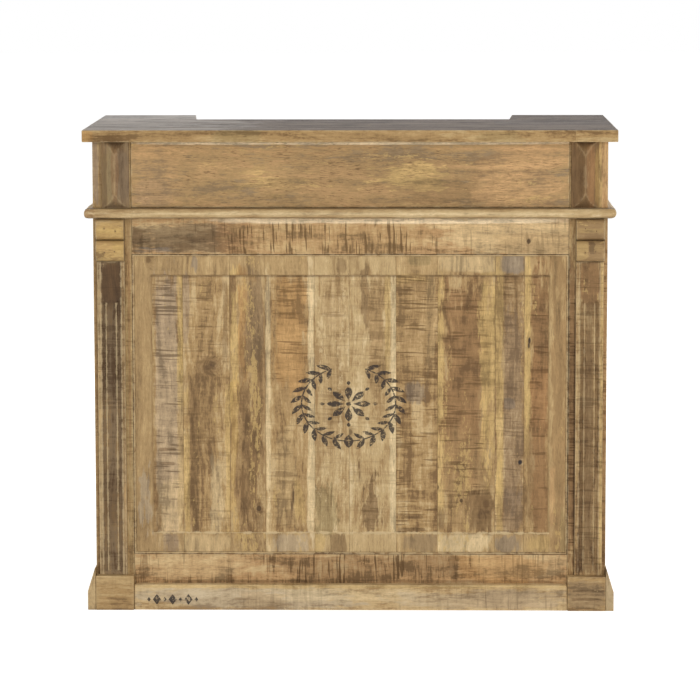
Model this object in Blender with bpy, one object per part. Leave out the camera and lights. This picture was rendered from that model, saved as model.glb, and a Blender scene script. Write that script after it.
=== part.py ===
"""Bar cabinet in waxed mango wood, built as a joiner would: posts, rails and a planked panel in front,
a moulded plinth, a bar top with two arms, and behind it a glass shelf, two drawers, a cupboard with two
doors and a column of bottle shelves under each arm.

Metres, +Z up. The front looks along -Y and left is -X, as seen from the front. The origin is on the
floor, under the middle of the bar top.
"""

import math

import bmesh
import bpy
import numpy as np
from mathutils import Matrix, Vector

# Fits between pieces
GAP = 0.0003
DOOR_GAP = 0.002
DRAWER_GAP = 0.001
ARRIS = 0.0008

# How far a cutting helper reaches past what it cuts, and how close counts as touching
CUTTER_REACH = 0.010
TOLERANCE = 1e-5
MERGE_DISTANCE = 1e-6
SMOOTH_ANGLE = math.radians(35)

# Bar top
TOP_WIDTH = 1.200
TOP_DEPTH = 0.550
TOP_HEIGHT = 1.095
TOP_THICKNESS = 0.027
TOP_ARRIS = 0.0015
TOP_FRONT_DEPTH = 0.388
ARM_WIDTH = 0.220
ARM_SPLAY = 0.012
SIDE_OVERHANG = 0.020
FRONT_OVERHANG = 0.035
BACK_OVERHANG = 0.025

# Front frame
POST_WIDTH = 0.087
POST_THICKNESS = 0.035
RAIL_THICKNESS = 0.024
BOTTOM_RAIL_HEIGHT = 0.125
TOP_RAIL_HEIGHT = 0.083
FRIEZE_HEIGHT = 0.150
FRIEZE_PROUD = 0.005

# Front panel: a glued row of planks with a sunk field and a bead round it
PANEL_SETBACK = 0.004
FIELD_BORDER_SIDE = 0.042
FIELD_BORDER_END = 0.046
FIELD_SINK = 0.005
FIELD_BEVEL = 0.004
PLANK_WIDTHS = (0.113, 0.106, 0.080, 0.112, 0.078, 0.106, 0.094, 0.130, 0.065, 0.099)
PLANK_GROOVE = 0.0008
BEAD_WIDTH = 0.0045
BEAD_HEIGHT = 0.005
BEAD_STEPS = 4

# Moulding under the frieze
MOULDING_HEIGHT = 0.0225
MOULDING_FRONT = 0.032
MOULDING_SIDE = 0.018
MOULDING_ROUND = 0.009
MOULDING_STEPS = 6

# Carved block beside the frieze
DIAMOND_WIDTH = 0.061
DIAMOND_SETBACK = 0.0215
DIAMOND_MARGIN = 0.002
DIAMOND_BASE = 0.006
DIAMOND_RISE = 0.017
DIAMOND_HOLLOW = 1.7
DIAMOND_END = 0.033
DIAMOND_BEND = 1.9
DIAMOND_STEPS = 10

# Corbel of two lobes, over a fluted pilaster
CORBEL_WIDTH = 0.064
CORBEL_HEIGHT = 0.098
CORBEL_CREASE = 0.014
CORBEL_LOBE = 0.016
CORBEL_FULLNESS = 0.75
CORBEL_STEPS = 12
PILASTER_WIDTH = 0.062
PILASTER_SETBACK = 0.009
PILASTER_PROUD = 0.010
PILASTER_MARGIN = 0.009
PILASTER_SINK = 0.0012
FLUTE_WIDE = 0.020
FLUTE_NARROW = 0.007
FLUTE_RIDGE = 0.003
FLUTE_DEPTH = 0.0035
FLUTE_STEPS = 6
FLUTE_END_STEPS = 4
FLUTE_TOP_STOP = 0.090
FLUTE_FOOT_STOP = 0.006

# Plinth
PLINTH_HEIGHT = 0.058
PLINTH_PROUD = 0.021
PLINTH_ROUND = 0.004
BLOCK_HEIGHT = 0.0785
BLOCK_PROUD = 0.025
BLOCK_ROUND = 0.003
ROUND_STEPS = 2
SKIRT_THICKNESS = 0.018
SKIRT_HEIGHT = 0.096
SKIRT_STRAIGHT = 0.043
SKIRT_LIP = 0.0015
SKIRT_EASE = 0.0015
SKIRT_EASE_HEIGHT = 0.005

# Sides
SIDE_THICKNESS = 0.020
SIDE_PANEL_THICKNESS = 0.016
SIDE_PLANKS = 4
BACK_STILE_WIDTH = 0.045

# Inside and back
WALL_THICKNESS = 0.018
SHELF_THICKNESS = 0.018
FLOOR_HEIGHT = 0.076
NICHE_HEIGHT = 0.192
WORKTOP_THICKNESS = 0.020
WORKTOP_NOSING = 0.010
DRAWER_OPENING_HEIGHT = 0.140
CUPBOARD_SHELF_HEIGHT = 0.398
BOTTLE_ROWS = 5
BOTTLE_SHELF_SETBACK = 0.006
HOUSING_DEPTH = 0.006
TOE_SETBACK = 0.017

# Drawers
FRONT_THICKNESS = 0.018
DRAWER_SIDE = 0.012
DRAWER_BOTTOM = 0.006
DRAWER_BOX_HEIGHT = 0.110
DRAWER_BACK_ROOM = 0.020

# Doors
DOOR_THICKNESS = 0.020
DOOR_FRAME_WIDTH = 0.062
DOOR_PANEL_THICKNESS = 0.010

# Hinges and knobs
LEAF_LENGTH = 0.060
LEAF_WIDTH = 0.026
LEAF_THICKNESS = 0.0018
KNUCKLE_RADIUS = 0.0045
KNUCKLE_GAP = 0.0008
HINGE_INSET = 0.070
PIN_RADIUS = 0.0022
PIN_HEAD_RADIUS = 0.0036
PIN_HEAD_END_RADIUS = 0.0029
PIN_HEAD_HEIGHT = 0.003
PIN_SIDES = 16
KNOB_RADIUS = 0.015
KNOB_NECK_RADIUS = 0.007
KNOB_COLLAR_RADIUS = 0.0105
KNOB_COLLAR_HEIGHT = 0.002
KNOB_NECK_START = 0.0045
KNOB_NECK_END = 0.010
KNOB_LENGTH = 0.024
KNOB_HEAD_STEPS = 7
KNOB_SIDES = 20
DOOR_KNOB_DROP = 0.110

# Planes and levels worked out from the sizes above
BODY_X = TOP_WIDTH / 2 - SIDE_OVERHANG
FACE_Y = -TOP_DEPTH / 2 + FRONT_OVERHANG
BACK_Y = TOP_DEPTH / 2 - BACK_OVERHANG
FRAME_BACK_Y = FACE_Y + RAIL_THICKNESS
POST_BACK_Y = FACE_Y + POST_THICKNESS
CENTRE_BACK_Y = -TOP_DEPTH / 2 + TOP_FRONT_DEPTH - BACK_OVERHANG
POST_X = BODY_X - POST_WIDTH
WALL_X = TOP_WIDTH / 2 - ARM_WIDTH + SIDE_OVERHANG
SIDE_X = BODY_X - SIDE_THICKNESS
UNDER_TOP = TOP_HEIGHT - TOP_THICKNESS
MOULDING_TOP = UNDER_TOP - FRIEZE_HEIGHT
MOULDING_BOTTOM = MOULDING_TOP - MOULDING_HEIGHT
PANEL_TOP = MOULDING_BOTTOM - TOP_RAIL_HEIGHT
CORBEL_BOTTOM = MOULDING_BOTTOM - CORBEL_HEIGHT
BORDER_Y = FACE_Y + PANEL_SETBACK
CUPBOARD_FLOOR = FLOOR_HEIGHT + SHELF_THICKNESS
WORKTOP_HEIGHT = UNDER_TOP - NICHE_HEIGHT
DRAWER_FLOOR = WORKTOP_HEIGHT - WORKTOP_THICKNESS - DRAWER_OPENING_HEIGHT
CUPBOARD_TOP = DRAWER_FLOOR - SHELF_THICKNESS
DIVIDER_X = SHELF_THICKNESS / 2
HINGE_X = WALL_X - GAP - KNUCKLE_RADIUS
HINGE_Y = CENTRE_BACK_Y + GAP + KNUCKLE_RADIUS
DOOR_BOTTOM = CUPBOARD_FLOOR + DOOR_GAP
DOOR_TOP = CUPBOARD_TOP - DOOR_GAP
HINGE_LEVELS = {"lower": DOOR_BOTTOM + HINGE_INSET, "upper": DOOR_TOP - HINGE_INSET}
SIDES = {"left": -1, "right": 1}

# Finishes: base colour, roughness, metallic
FINISHES = {
    "bar_top_wood": ((0.235, 0.190, 0.150), 0.50, 0.0),
    "frieze_wood": ((0.430, 0.255, 0.125), 0.52, 0.0),
    "frame_wood": ((0.330, 0.215, 0.105), 0.58, 0.0),
    "moulding_wood": ((0.510, 0.360, 0.180), 0.50, 0.0),
    "panel_wood": ((0.300, 0.190, 0.095), 0.62, 0.0),
    "carved_wood": ((0.270, 0.185, 0.100), 0.58, 0.0),
    "plinth_wood": ((0.350, 0.250, 0.130), 0.60, 0.0),
    "side_wood": ((0.320, 0.205, 0.105), 0.60, 0.0),
    "inner_wood": ((0.360, 0.245, 0.135), 0.62, 0.0),
    "drawer_wood": ((0.400, 0.270, 0.140), 0.58, 0.0),
    "dark_iron": ((0.035, 0.032, 0.030), 0.48, 0.9),
    "hinge_steel": ((0.120, 0.110, 0.100), 0.40, 1.0),
}


def clear_scene():
    """Removes every object that the file opens with."""
    for thing in list(bpy.data.objects):
        bpy.data.objects.remove(thing, do_unlink=True)


def dress(thing, finish):
    """Gives an object a material of its own in the named finish."""
    colour, roughness, metallic = FINISHES[finish]
    paint = bpy.data.materials.new(f"{thing.name}_{finish}")
    paint.use_nodes = True
    shader = paint.node_tree.nodes["Principled BSDF"]
    shader.inputs["Base Color"].default_value = (*colour, 1.0)
    shader.inputs["Roughness"].default_value = roughness
    shader.inputs["Metallic"].default_value = metallic
    thing.data.materials.append(paint)


def make(name, form, finish=None, smooth=False):
    """Turns a bmesh into a named object. Without a finish it is a helper that cuts or joins."""
    bmesh.ops.recalc_face_normals(form, faces=form.faces[:])
    mesh = bpy.data.meshes.new(name)
    form.to_mesh(mesh)
    form.free()
    thing = bpy.data.objects.new(name, mesh)
    bpy.context.scene.collection.objects.link(thing)
    if smooth:
        mesh.shade_smooth()
        mesh.set_sharp_from_angle(angle=SMOOTH_ANGLE)
    if finish is None:
        thing.hide_render = True
        thing.display_type = "WIRE"
    else:
        dress(thing, finish)
    return thing


def span(sign, near, far):
    """The low and high X of something that lies between two distances from the middle."""
    return min(sign * near, sign * far), max(sign * near, sign * far)


def add_board(form, x, y, z, arris=ARRIS, segments=1, pick=None):
    """Adds a board between its low and high X, Y and Z, its arrises eased where pick says so."""
    low = Vector((x[0], y[0], z[0]))
    size = Vector((x[1], y[1], z[1])) - low
    corners = bmesh.ops.create_cube(form, size=1.0)["verts"]
    for corner in corners:
        corner.co = low + Vector((c + 0.5) * s for c, s in zip(corner.co, size))
    if arris <= 0:
        return
    edges = {edge for corner in corners for edge in corner.link_edges}
    middles = [(edge, (edge.verts[0].co + edge.verts[1].co) / 2) for edge in edges]
    chosen = [edge for edge, middle in middles if pick is None or pick(middle)]
    chosen.sort(key=lambda edge: tuple(edge.verts[0].co) + tuple(edge.verts[1].co))
    ease_edges(form, chosen, arris, segments)


def ease_edges(form, edges, arris, segments):
    """Rounds edges by the given arris, in that many flats."""
    bmesh.ops.bevel(form, geom=edges, offset=arris, segments=segments, profile=0.5, affect="EDGES")


def board(name, x, y, z, finish, **edges):
    """One board as an object of its own."""
    form = bmesh.new()
    add_board(form, x, y, z, **edges)
    return make(name, form, finish)


def add_extrusion(form, outline, place, start, end):
    """Adds a prism: the outline's points, put in space by place(u, v, along), at its start and end."""
    rings = [[form.verts.new(place(u, v, along)) for u, v in outline] for along in (start, end)]
    form.faces.new(rings[0])
    form.faces.new(reversed(rings[1]))
    for i in range(len(outline)):
        j = (i + 1) % len(outline)
        form.faces.new((rings[0][j], rings[0][i], rings[1][i], rings[1][j]))


def add_relief(form, xs, zs, front, back_y):
    """Adds a block with a flat back and a front of points at (x, front[z][x], z), on a grid."""
    grid = [[form.verts.new((x, y, z)) for x, y in zip(xs, row)] for z, row in zip(zs, front)]
    back = [[form.verts.new((x, back_y, z)) for x in (xs[0], xs[-1])] for z in (zs[0], zs[-1])]
    for low, high in zip(grid, grid[1:]):
        for i in range(len(xs) - 1):
            form.faces.new((low[i], low[i + 1], high[i + 1], high[i]))
    form.faces.new(grid[0] + back[0][::-1])
    form.faces.new(grid[-1] + back[1][::-1])
    form.faces.new([row[0] for row in grid] + [back[1][0], back[0][0]])
    form.faces.new([row[-1] for row in grid] + [back[1][1], back[0][1]])
    form.faces.new((back[0][0], back[0][1], back[1][1], back[1][0]))


def add_turning(form, profile, place, sides):
    """Adds a turned shape: (radius, distance) points spun round the +Y axis, then put in place."""
    shape = bmesh.new()
    points = [shape.verts.new((radius, along, 0.0)) for radius, along in profile]
    edges = [shape.edges.new(pair) for pair in zip(points, points[1:])]
    bmesh.ops.spin(
        shape,
        geom=points + edges,
        cent=(0, 0, 0),
        axis=(0, 1, 0),
        angle=2 * math.pi,
        steps=sides,
        use_duplicate=False,
    )
    bmesh.ops.remove_doubles(shape, verts=shape.verts[:], dist=MERGE_DISTANCE)
    shape.transform(place)
    mesh = bpy.data.meshes.new("turning")
    shape.to_mesh(mesh)
    shape.free()
    form.from_mesh(mesh)
    bpy.data.meshes.remove(mesh)


def add_cylinder(form, centre, radius, low, high, sides):
    """Adds an upright cylinder between two levels."""
    place = Matrix.Translation((centre[0], centre[1], (low + high) / 2))
    bmesh.ops.create_cone(
        form,
        cap_ends=True,
        segments=sides,
        radius1=radius,
        radius2=radius,
        depth=high - low,
        matrix=place,
    )


def combine(thing, helper, operation):
    """Applies a helper's shape to an object with the exact Boolean solver."""
    modifier = thing.modifiers.new(helper.name, "BOOLEAN")
    modifier.operation = operation
    modifier.solver = "EXACT"
    modifier.object = helper


def cut(thing, helper):
    """Takes a helper's shape out of an object."""
    combine(thing, helper, "DIFFERENCE")


def join(thing, helper):
    """Adds a helper's overlapping shape to an object, as glue does."""
    combine(thing, helper, "UNION")


def hang(things, pivot_name, point):
    """Parents moving pieces, with the helpers that shape them, to an empty on their joint's axis."""
    pivot = bpy.data.objects.new(pivot_name, None)
    pivot.location = point
    bpy.context.scene.collection.objects.link(pivot)
    helpers = [modifier.object for thing in things for modifier in thing.modifiers]
    for thing in things + helpers:
        thing.data.transform(Matrix.Translation(-Vector(point)))
        thing.parent = pivot


def build_bar_top():
    """The front board over the whole width, and an arm behind it at each end, widest at the seam."""
    front_y = -TOP_DEPTH / 2
    seam_y = front_y + TOP_FRONT_DEPTH
    z = (UNDER_TOP, TOP_HEIGHT)
    full = (-TOP_WIDTH / 2, TOP_WIDTH / 2)
    board("bar_top", full, (front_y, seam_y), z, "bar_top_wood", arris=TOP_ARRIS)
    y = (seam_y + GAP, TOP_DEPTH / 2)
    inner = TOP_WIDTH / 2 - ARM_WIDTH
    outline = ((inner - ARM_SPLAY, y[0]), (full[1], y[0]), (full[1], y[1]), (inner, y[1]))
    for side, sign in SIDES.items():

        def place(out, back, level):
            return sign * out, back, level

        form = bmesh.new()
        add_extrusion(form, outline, place, *z)
        ease_edges(form, form.edges[:], TOP_ARRIS, 1)
        make(f"bar_top_arm_{side}", form, "bar_top_wood")


def build_front_frame():
    """Posts, rails and frieze, their faces in one plane but for the proud frieze."""
    inner = POST_X - GAP
    for side, sign in SIDES.items():
        x = span(sign, POST_X, BODY_X)
        board(f"front_post_{side}", x, (FACE_Y, POST_BACK_Y), (0, UNDER_TOP - GAP), "frame_wood")
    depth = (FACE_Y, FRAME_BACK_Y)
    board("bottom_rail", (-inner, inner), depth, (0, BOTTOM_RAIL_HEIGHT), "frame_wood")
    board("top_rail", (-inner, inner), depth, (PANEL_TOP, MOULDING_TOP), "frame_wood")
    depth = (FACE_Y - FRIEZE_PROUD, FRAME_BACK_Y)
    board("frieze_board", (-inner, inner), depth, (MOULDING_TOP + GAP, UNDER_TOP - GAP), "frieze_wood")


def build_front_panel():
    """A board of planks glued edge to edge, with the rough field sunk between planed borders."""
    half = POST_X - GAP
    bottom, top = BOTTOM_RAIL_HEIGHT + GAP, PANEL_TOP - GAP
    depth = (BORDER_Y, FRAME_BACK_Y)
    panel = board("front_panel", (-half, half), depth, (bottom, top), "panel_wood", arris=0)

    field_x = half - FIELD_BORDER_SIDE
    field_z = (bottom + FIELD_BORDER_END, top - FIELD_BORDER_END)
    field_y = BORDER_Y + FIELD_SINK
    flare = FIELD_BEVEL * CUTTER_REACH / FIELD_SINK
    form = bmesh.new()
    rings = []
    for grow, y in ((flare, BORDER_Y - CUTTER_REACH), (-FIELD_BEVEL, field_y)):
        x, low, high = field_x + grow, field_z[0] - grow, field_z[1] + grow
        rings.append([form.verts.new(at) for at in ((-x, y, low), (x, y, low), (x, y, high), (-x, y, high))])
    bmesh.ops.bridge_loops(form, edges=[edge for ring in rings for edge in add_ring(form, ring)])
    for ring in rings:
        form.faces.new(ring)
    cut(panel, make("field_cutter", form))

    joints = np.cumsum(PLANK_WIDTHS[:-1]) / sum(PLANK_WIDTHS) * 2 * half - half
    runs = {"border": (BORDER_Y, bottom - CUTTER_REACH, top + CUTTER_REACH)}
    runs["field"] = (field_y, field_z[0] + FIELD_BEVEL, field_z[1] - FIELD_BEVEL)
    for level, (face, low, high) in runs.items():

        def place(across, out, z):
            return across, face - out, z

        cut_plank_joints(panel, f"{level}_groove_cutter", joints, place, low, high)


def cut_plank_joints(panel, name, joints, place, low, high):
    """Cuts a shallow V down a panel at each plank joint; place puts (across, out, z) in space."""
    form = bmesh.new()
    for joint in joints:
        outline = [(joint, -PLANK_GROOVE)]
        outline += [(joint + way * 2 * PLANK_GROOVE, PLANK_GROOVE) for way in (1, -1)]
        add_extrusion(form, outline, place, low, high)
    cut(panel, make(name, form))


def add_ring(form, ring):
    """The edges round a closed loop of points."""
    return [form.edges.new((a, b)) for a, b in zip(ring, ring[1:] + ring[:1])]


def build_panel_bead():
    """A quarter-round bead on the panel's rim, mitred and glued at the corners into one frame."""
    half = POST_X - GAP
    low, high = BOTTOM_RAIL_HEIGHT + GAP, PANEL_TOP - GAP
    back = BORDER_Y - GAP
    turns = [math.pi / 2 * i / BEAD_STEPS for i in range(BEAD_STEPS + 1)]
    section = [(0.0, 0.0)] + [(BEAD_WIDTH * math.sin(t), BEAD_HEIGHT * math.cos(t)) for t in turns]
    form = bmesh.new()
    rings = []
    for x_way, z_way in ((-1, -1), (1, -1), (1, 1), (-1, 1)):
        corner = Vector((x_way * half, back, low if z_way < 0 else high))
        rings.append([form.verts.new(corner + Vector((-x_way * u, -v, -z_way * u))) for u, v in section])
    for start, end in zip(rings, rings[1:] + rings[:1]):
        for a in range(len(section)):
            b = (a + 1) % len(section)
            form.faces.new((start[a], start[b], end[b], end[a]))
    make("panel_bead", form, "frame_wood")


def build_moulding():
    """The bullnosed shelf moulding: one length across the front and a return along each side."""
    z = (MOULDING_BOTTOM, MOULDING_TOP)
    reach = BODY_X + MOULDING_SIDE
    front = FACE_Y - MOULDING_FRONT
    seam = FACE_Y - GAP

    def on_nose(at):
        return at.y < front + TOLERANCE or abs(at.x) > reach - TOLERANCE

    y = (front, seam)
    nose = {"arris": MOULDING_ROUND, "segments": MOULDING_STEPS, "pick": on_nose}
    board("mid_moulding_front", (-reach, reach), y, z, "moulding_wood", **nose)
    for side, sign in SIDES.items():
        x = span(sign, BODY_X + GAP, reach)
        nose["pick"] = lambda at: abs(at.x) > reach - TOLERANCE
        board(f"mid_moulding_{side}", x, (seam + GAP, BACK_Y), z, "moulding_wood", **nose)


def build_diamond_blocks():
    """Carved blocks at the frieze's ends: hipped points with hollowed sides and curved hips, ring by ring."""
    z = (MOULDING_TOP + GAP, UNDER_TOP - GAP)
    half_width, half_height = DIAMOND_WIDTH / 2, (z[1] - z[0]) / 2
    slope = half_width - DIAMOND_MARGIN
    rings = [(0.0, 0.0, 0.0), (0.0, 0.0, DIAMOND_BASE)]
    for i in range(DIAMOND_STEPS):
        share = i / DIAMOND_STEPS
        rise = DIAMOND_RISE * share**DIAMOND_HOLLOW
        end = (DIAMOND_END - DIAMOND_MARGIN) * share**DIAMOND_BEND
        rings.append((DIAMOND_MARGIN + slope * share, DIAMOND_MARGIN + end, DIAMOND_BASE + rise))
    peak = DIAMOND_BASE + DIAMOND_RISE
    for side, sign in SIDES.items():
        middle = Vector((sign * (BODY_X - DIAMOND_SETBACK - half_width), FACE_Y - GAP, (z[0] + z[1]) / 2))
        form = bmesh.new()
        loops = []
        for inset, end, rise in rings:
            x, h = half_width - inset, half_height - end
            corners = ((-x, -h), (x, -h), (x, h), (-x, h))
            loops.append([form.verts.new(middle + Vector((u, -rise, v))) for u, v in corners])
        form.faces.new(loops[0])
        for low, high in zip(loops, loops[1:]):
            for i in range(4):
                j = (i + 1) % 4
                form.faces.new((low[i], low[j], high[j], high[i]))
        foot, head = (
            form.verts.new(middle + Vector((0, -peak, way * (half_height - DIAMOND_END)))) for way in (-1, 1)
        )
        last = loops[-1]
        form.faces.new((last[0], last[1], foot))
        form.faces.new((last[1], last[2], head, foot))
        form.faces.new((last[2], last[3], head))
        form.faces.new((last[3], last[0], foot, head))
        make(f"diamond_block_{side}", form, "carved_wood")


def corbel_outline():
    """The corbel from the side, as (outward, up) points: two half-round lobes with a crease between."""
    lobe = CORBEL_HEIGHT / 2
    outline = [(0.0, 0.0)]
    for centre in (lobe / 2, lobe * 3 / 2):
        turns = [math.pi * (i / CORBEL_STEPS - 0.5) for i in range(CORBEL_STEPS + 1)]
        for turn in turns:
            out = CORBEL_CREASE + CORBEL_LOBE * max(0.0, math.cos(turn)) ** CORBEL_FULLNESS
            outline.append((out, centre + (lobe / 2 - ARRIS / 2) * math.sin(turn)))
    outline.append((0.0, CORBEL_HEIGHT - GAP))
    return outline


def build_corbels():
    """A corbel under the moulding at the head of each pilaster."""
    centre = BODY_X - PILASTER_SETBACK - PILASTER_WIDTH / 2
    for side, sign in SIDES.items():
        form = bmesh.new()
        low, high = sign * centre - CORBEL_WIDTH / 2, sign * centre + CORBEL_WIDTH / 2

        def place(out, up, x):
            return x, FACE_Y - GAP - out, CORBEL_BOTTOM + up

        add_extrusion(form, corbel_outline(), place, low, high)
        make(f"corbel_{side}", form, "moulding_wood")


def flute_sink(x, z, low, high):
    """How deep the pilaster's face lies at a point: three flutes, cut round and stopped round."""
    if abs(x) > PILASTER_WIDTH / 2 - PILASTER_MARGIN:
        return 0.0
    aside = FLUTE_WIDE / 2 + FLUTE_RIDGE + FLUTE_NARROW / 2
    sink = PILASTER_SINK
    for centre, width in ((-aside, FLUTE_NARROW), (0.0, FLUTE_WIDE), (aside, FLUTE_NARROW)):
        radius = width / 2
        past = max(low + radius - z, z - high + radius, 0.0)
        off = math.hypot(x - centre, past) / radius
        if off < 1.0:
            sink = PILASTER_SINK + FLUTE_DEPTH * math.sqrt(1.0 - off * off)
    return sink


def build_pilasters():
    """A flat pilaster on each post, with a sunk middle and three stopped flutes."""
    z = (BLOCK_HEIGHT + GAP, CORBEL_BOTTOM - GAP)
    low, high = z[0] + FLUTE_FOOT_STOP, z[1] - FLUTE_TOP_STOP
    half = PILASTER_WIDTH / 2
    rim = half - PILASTER_MARGIN
    aside = FLUTE_WIDE / 2 + FLUTE_RIDGE + FLUTE_NARROW / 2
    columns = {-half, half, -rim, rim, -rim - ARRIS, rim + ARRIS}
    for centre, width in ((-aside, FLUTE_NARROW), (0.0, FLUTE_WIDE), (aside, FLUTE_NARROW)):
        turns = [math.pi * i / FLUTE_STEPS for i in range(FLUTE_STEPS + 1)]
        columns.update(round(centre - width / 2 * math.cos(turn), 7) for turn in turns)
    columns = sorted(columns)
    ends = [math.pi / 2 * i / FLUTE_END_STEPS for i in range(FLUTE_END_STEPS + 1)]
    radius = FLUTE_WIDE / 2
    rows = [low + radius * (1 - math.cos(turn)) for turn in ends]
    rows += [high - radius * (1 - math.cos(turn)) for turn in reversed(ends)]
    rows = [z[0]] + rows + [z[1]]
    for side, sign in SIDES.items():
        middle = sign * (BODY_X - PILASTER_SETBACK - half)
        face = FACE_Y - PILASTER_PROUD
        front = [[face + flute_sink(x, row, low, high) for x in columns] for row in rows]
        form = bmesh.new()
        add_relief(form, [middle + x for x in columns], rows, front, FACE_Y - GAP)
        make(f"pilaster_{side}", form, "frame_wood")


def build_plinth():
    """The plinth board, a block under each pilaster and a chamfered skirt along each side."""
    front = FACE_Y - PLINTH_PROUD
    inner = POST_X - GAP
    back = FACE_Y - GAP
    ease = {"arris": PLINTH_ROUND, "segments": ROUND_STEPS}
    ease["pick"] = lambda at: at.y < front + TOLERANCE and at.z > PLINTH_HEIGHT - TOLERANCE
    board("plinth_board", (-inner, inner), (front, back), (0, PLINTH_HEIGHT), "plinth_wood", **ease)
    face = FACE_Y - BLOCK_PROUD

    def on_block_front(at):
        top_or_inner = at.z > BLOCK_HEIGHT - TOLERANCE or abs(at.x) < POST_X + TOLERANCE
        return at.y < face + TOLERANCE and top_or_inner

    for side, sign in SIDES.items():
        ease = {"arris": BLOCK_ROUND, "segments": ROUND_STEPS, "pick": on_block_front}
        x = span(sign, POST_X, BODY_X)
        board(f"plinth_block_{side}", x, (face, back), (0, BLOCK_HEIGHT), "plinth_wood", **ease)
        outline = [
            (GAP, 0.0),
            (SKIRT_THICKNESS, 0.0),
            (SKIRT_THICKNESS, SKIRT_STRAIGHT),
            (SKIRT_THICKNESS - SKIRT_EASE, SKIRT_STRAIGHT + SKIRT_EASE_HEIGHT),
            (GAP + SKIRT_LIP, SKIRT_HEIGHT),
            (GAP, SKIRT_HEIGHT),
        ]
        form = bmesh.new()

        def place(out, up, y):
            return sign * (BODY_X + out), y, up

        add_extrusion(form, outline, place, face, BACK_Y)
        make(f"plinth_skirt_{side}", form, "plinth_wood")


def build_sides():
    """Each side: two rails, a back stile and a panel let in between them."""
    front, stile = POST_BACK_Y + GAP, BACK_Y - BACK_STILE_WIDTH
    y = (front, stile - GAP)
    for side, sign in SIDES.items():
        x = span(sign, SIDE_X, BODY_X)
        board(f"side_rail_lower_{side}", x, y, (0, BOTTOM_RAIL_HEIGHT), "side_wood")
        board(f"side_rail_upper_{side}", x, y, (PANEL_TOP, UNDER_TOP - GAP), "side_wood")
        board(f"back_stile_{side}", x, (stile, BACK_Y), (0, UNDER_TOP - GAP), "side_wood")
        panel_x = span(sign, SIDE_X, SIDE_X + SIDE_PANEL_THICKNESS)
        z = (BOTTOM_RAIL_HEIGHT + GAP, PANEL_TOP - GAP)
        panel = board(f"side_panel_{side}", panel_x, y, z, "side_wood", arris=0)
        joints = [y[0] + (y[1] - y[0]) * i / SIDE_PLANKS for i in range(1, SIDE_PLANKS)]

        def place(across, out, level):
            return sign * (SIDE_X + SIDE_PANEL_THICKNESS + out), across, level

        low, high = z[0] - CUTTER_REACH, z[1] + CUTTER_REACH
        cut_plank_joints(panel, f"side_groove_cutter_{side}", joints, place, low, high)


def build_bottle_columns():
    """Under each arm: an inner wall with evenly spaced bottle shelves and a toe rail glued into it."""
    bottom, top = FLOOR_HEIGHT, UNDER_TOP - GAP
    pitch = (top - bottom) / BOTTLE_ROWS
    toe_y = BACK_Y - TOE_SETBACK
    for side, sign in SIDES.items():
        wall_x = span(sign, WALL_X, WALL_X + WALL_THICKNESS)
        rack = board(f"bottle_rack_{side}", wall_x, (FRAME_BACK_Y + GAP, BACK_Y), (0, top), "inner_wood")
        x = span(sign, WALL_X + WALL_THICKNESS - HOUSING_DEPTH, SIDE_X - GAP)
        y = (POST_BACK_Y + GAP, BACK_Y - BOTTLE_SHELF_SETBACK)
        form = bmesh.new()
        for row in range(BOTTLE_ROWS):
            level = bottom + row * pitch
            add_board(form, x, y, (level, level + SHELF_THICKNESS))
        add_board(form, x, (toe_y - SHELF_THICKNESS, toe_y), (0, bottom - GAP))
        join(rack, make(f"bottle_shelf_tool_{side}", form))


def build_centre():
    """The boards between the inner walls: worktop, drawer divider and board, cupboard shelf and floor."""
    half = WALL_X - GAP
    front = FRAME_BACK_Y + GAP
    depth = (front, CENTRE_BACK_Y)
    worktop_z = (WORKTOP_HEIGHT - WORKTOP_THICKNESS, WORKTOP_HEIGHT)
    board("worktop", (-half, half), (front, CENTRE_BACK_Y + WORKTOP_NOSING), worktop_z, "drawer_wood")
    divider_z = (DRAWER_FLOOR + GAP, worktop_z[0] - GAP)
    board("drawer_divider", (-DIVIDER_X, DIVIDER_X), depth, divider_z, "inner_wood")
    board("drawer_board", (-half, half), depth, (CUPBOARD_TOP, DRAWER_FLOOR), "inner_wood")
    board("cupboard_floor", (-half, half), depth, (FLOOR_HEIGHT, CUPBOARD_FLOOR), "inner_wood")

    shelf_back = CENTRE_BACK_Y - DOOR_THICKNESS - BOTTLE_SHELF_SETBACK
    shelf_z = (CUPBOARD_SHELF_HEIGHT - SHELF_THICKNESS, CUPBOARD_SHELF_HEIGHT)
    board("cupboard_shelf", (-half, half), (front, shelf_back), shelf_z, "inner_wood")
    toe_y = CENTRE_BACK_Y - TOE_SETBACK
    toe_z = (0, FLOOR_HEIGHT - GAP)
    board("cupboard_toe_rail", (-half, half), (toe_y - SHELF_THICKNESS, toe_y), toe_z, "inner_wood")


def add_knob(form, x, z):
    """Adds a turned knob on the back's face: a collar, a thin neck and a domed head."""
    profile = [
        (0.0, 0.0),
        (KNOB_COLLAR_RADIUS, 0.0),
        (KNOB_COLLAR_RADIUS, KNOB_COLLAR_HEIGHT),
        (KNOB_NECK_RADIUS, KNOB_NECK_START),
    ]
    head_middle = (KNOB_NECK_END + KNOB_LENGTH) / 2
    head_reach = (KNOB_LENGTH - KNOB_NECK_END) / 2
    start = -math.acos(KNOB_NECK_RADIUS / KNOB_RADIUS)
    for i in range(KNOB_HEAD_STEPS):
        turn = start + (math.pi / 2 - start) * i / KNOB_HEAD_STEPS
        profile.append((KNOB_RADIUS * math.cos(turn), head_middle + head_reach * math.sin(turn)))
    profile.append((0.0, KNOB_LENGTH))
    add_turning(form, profile, Matrix.Translation((x, CENTRE_BACK_Y + GAP, z)), KNOB_SIDES)


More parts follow.
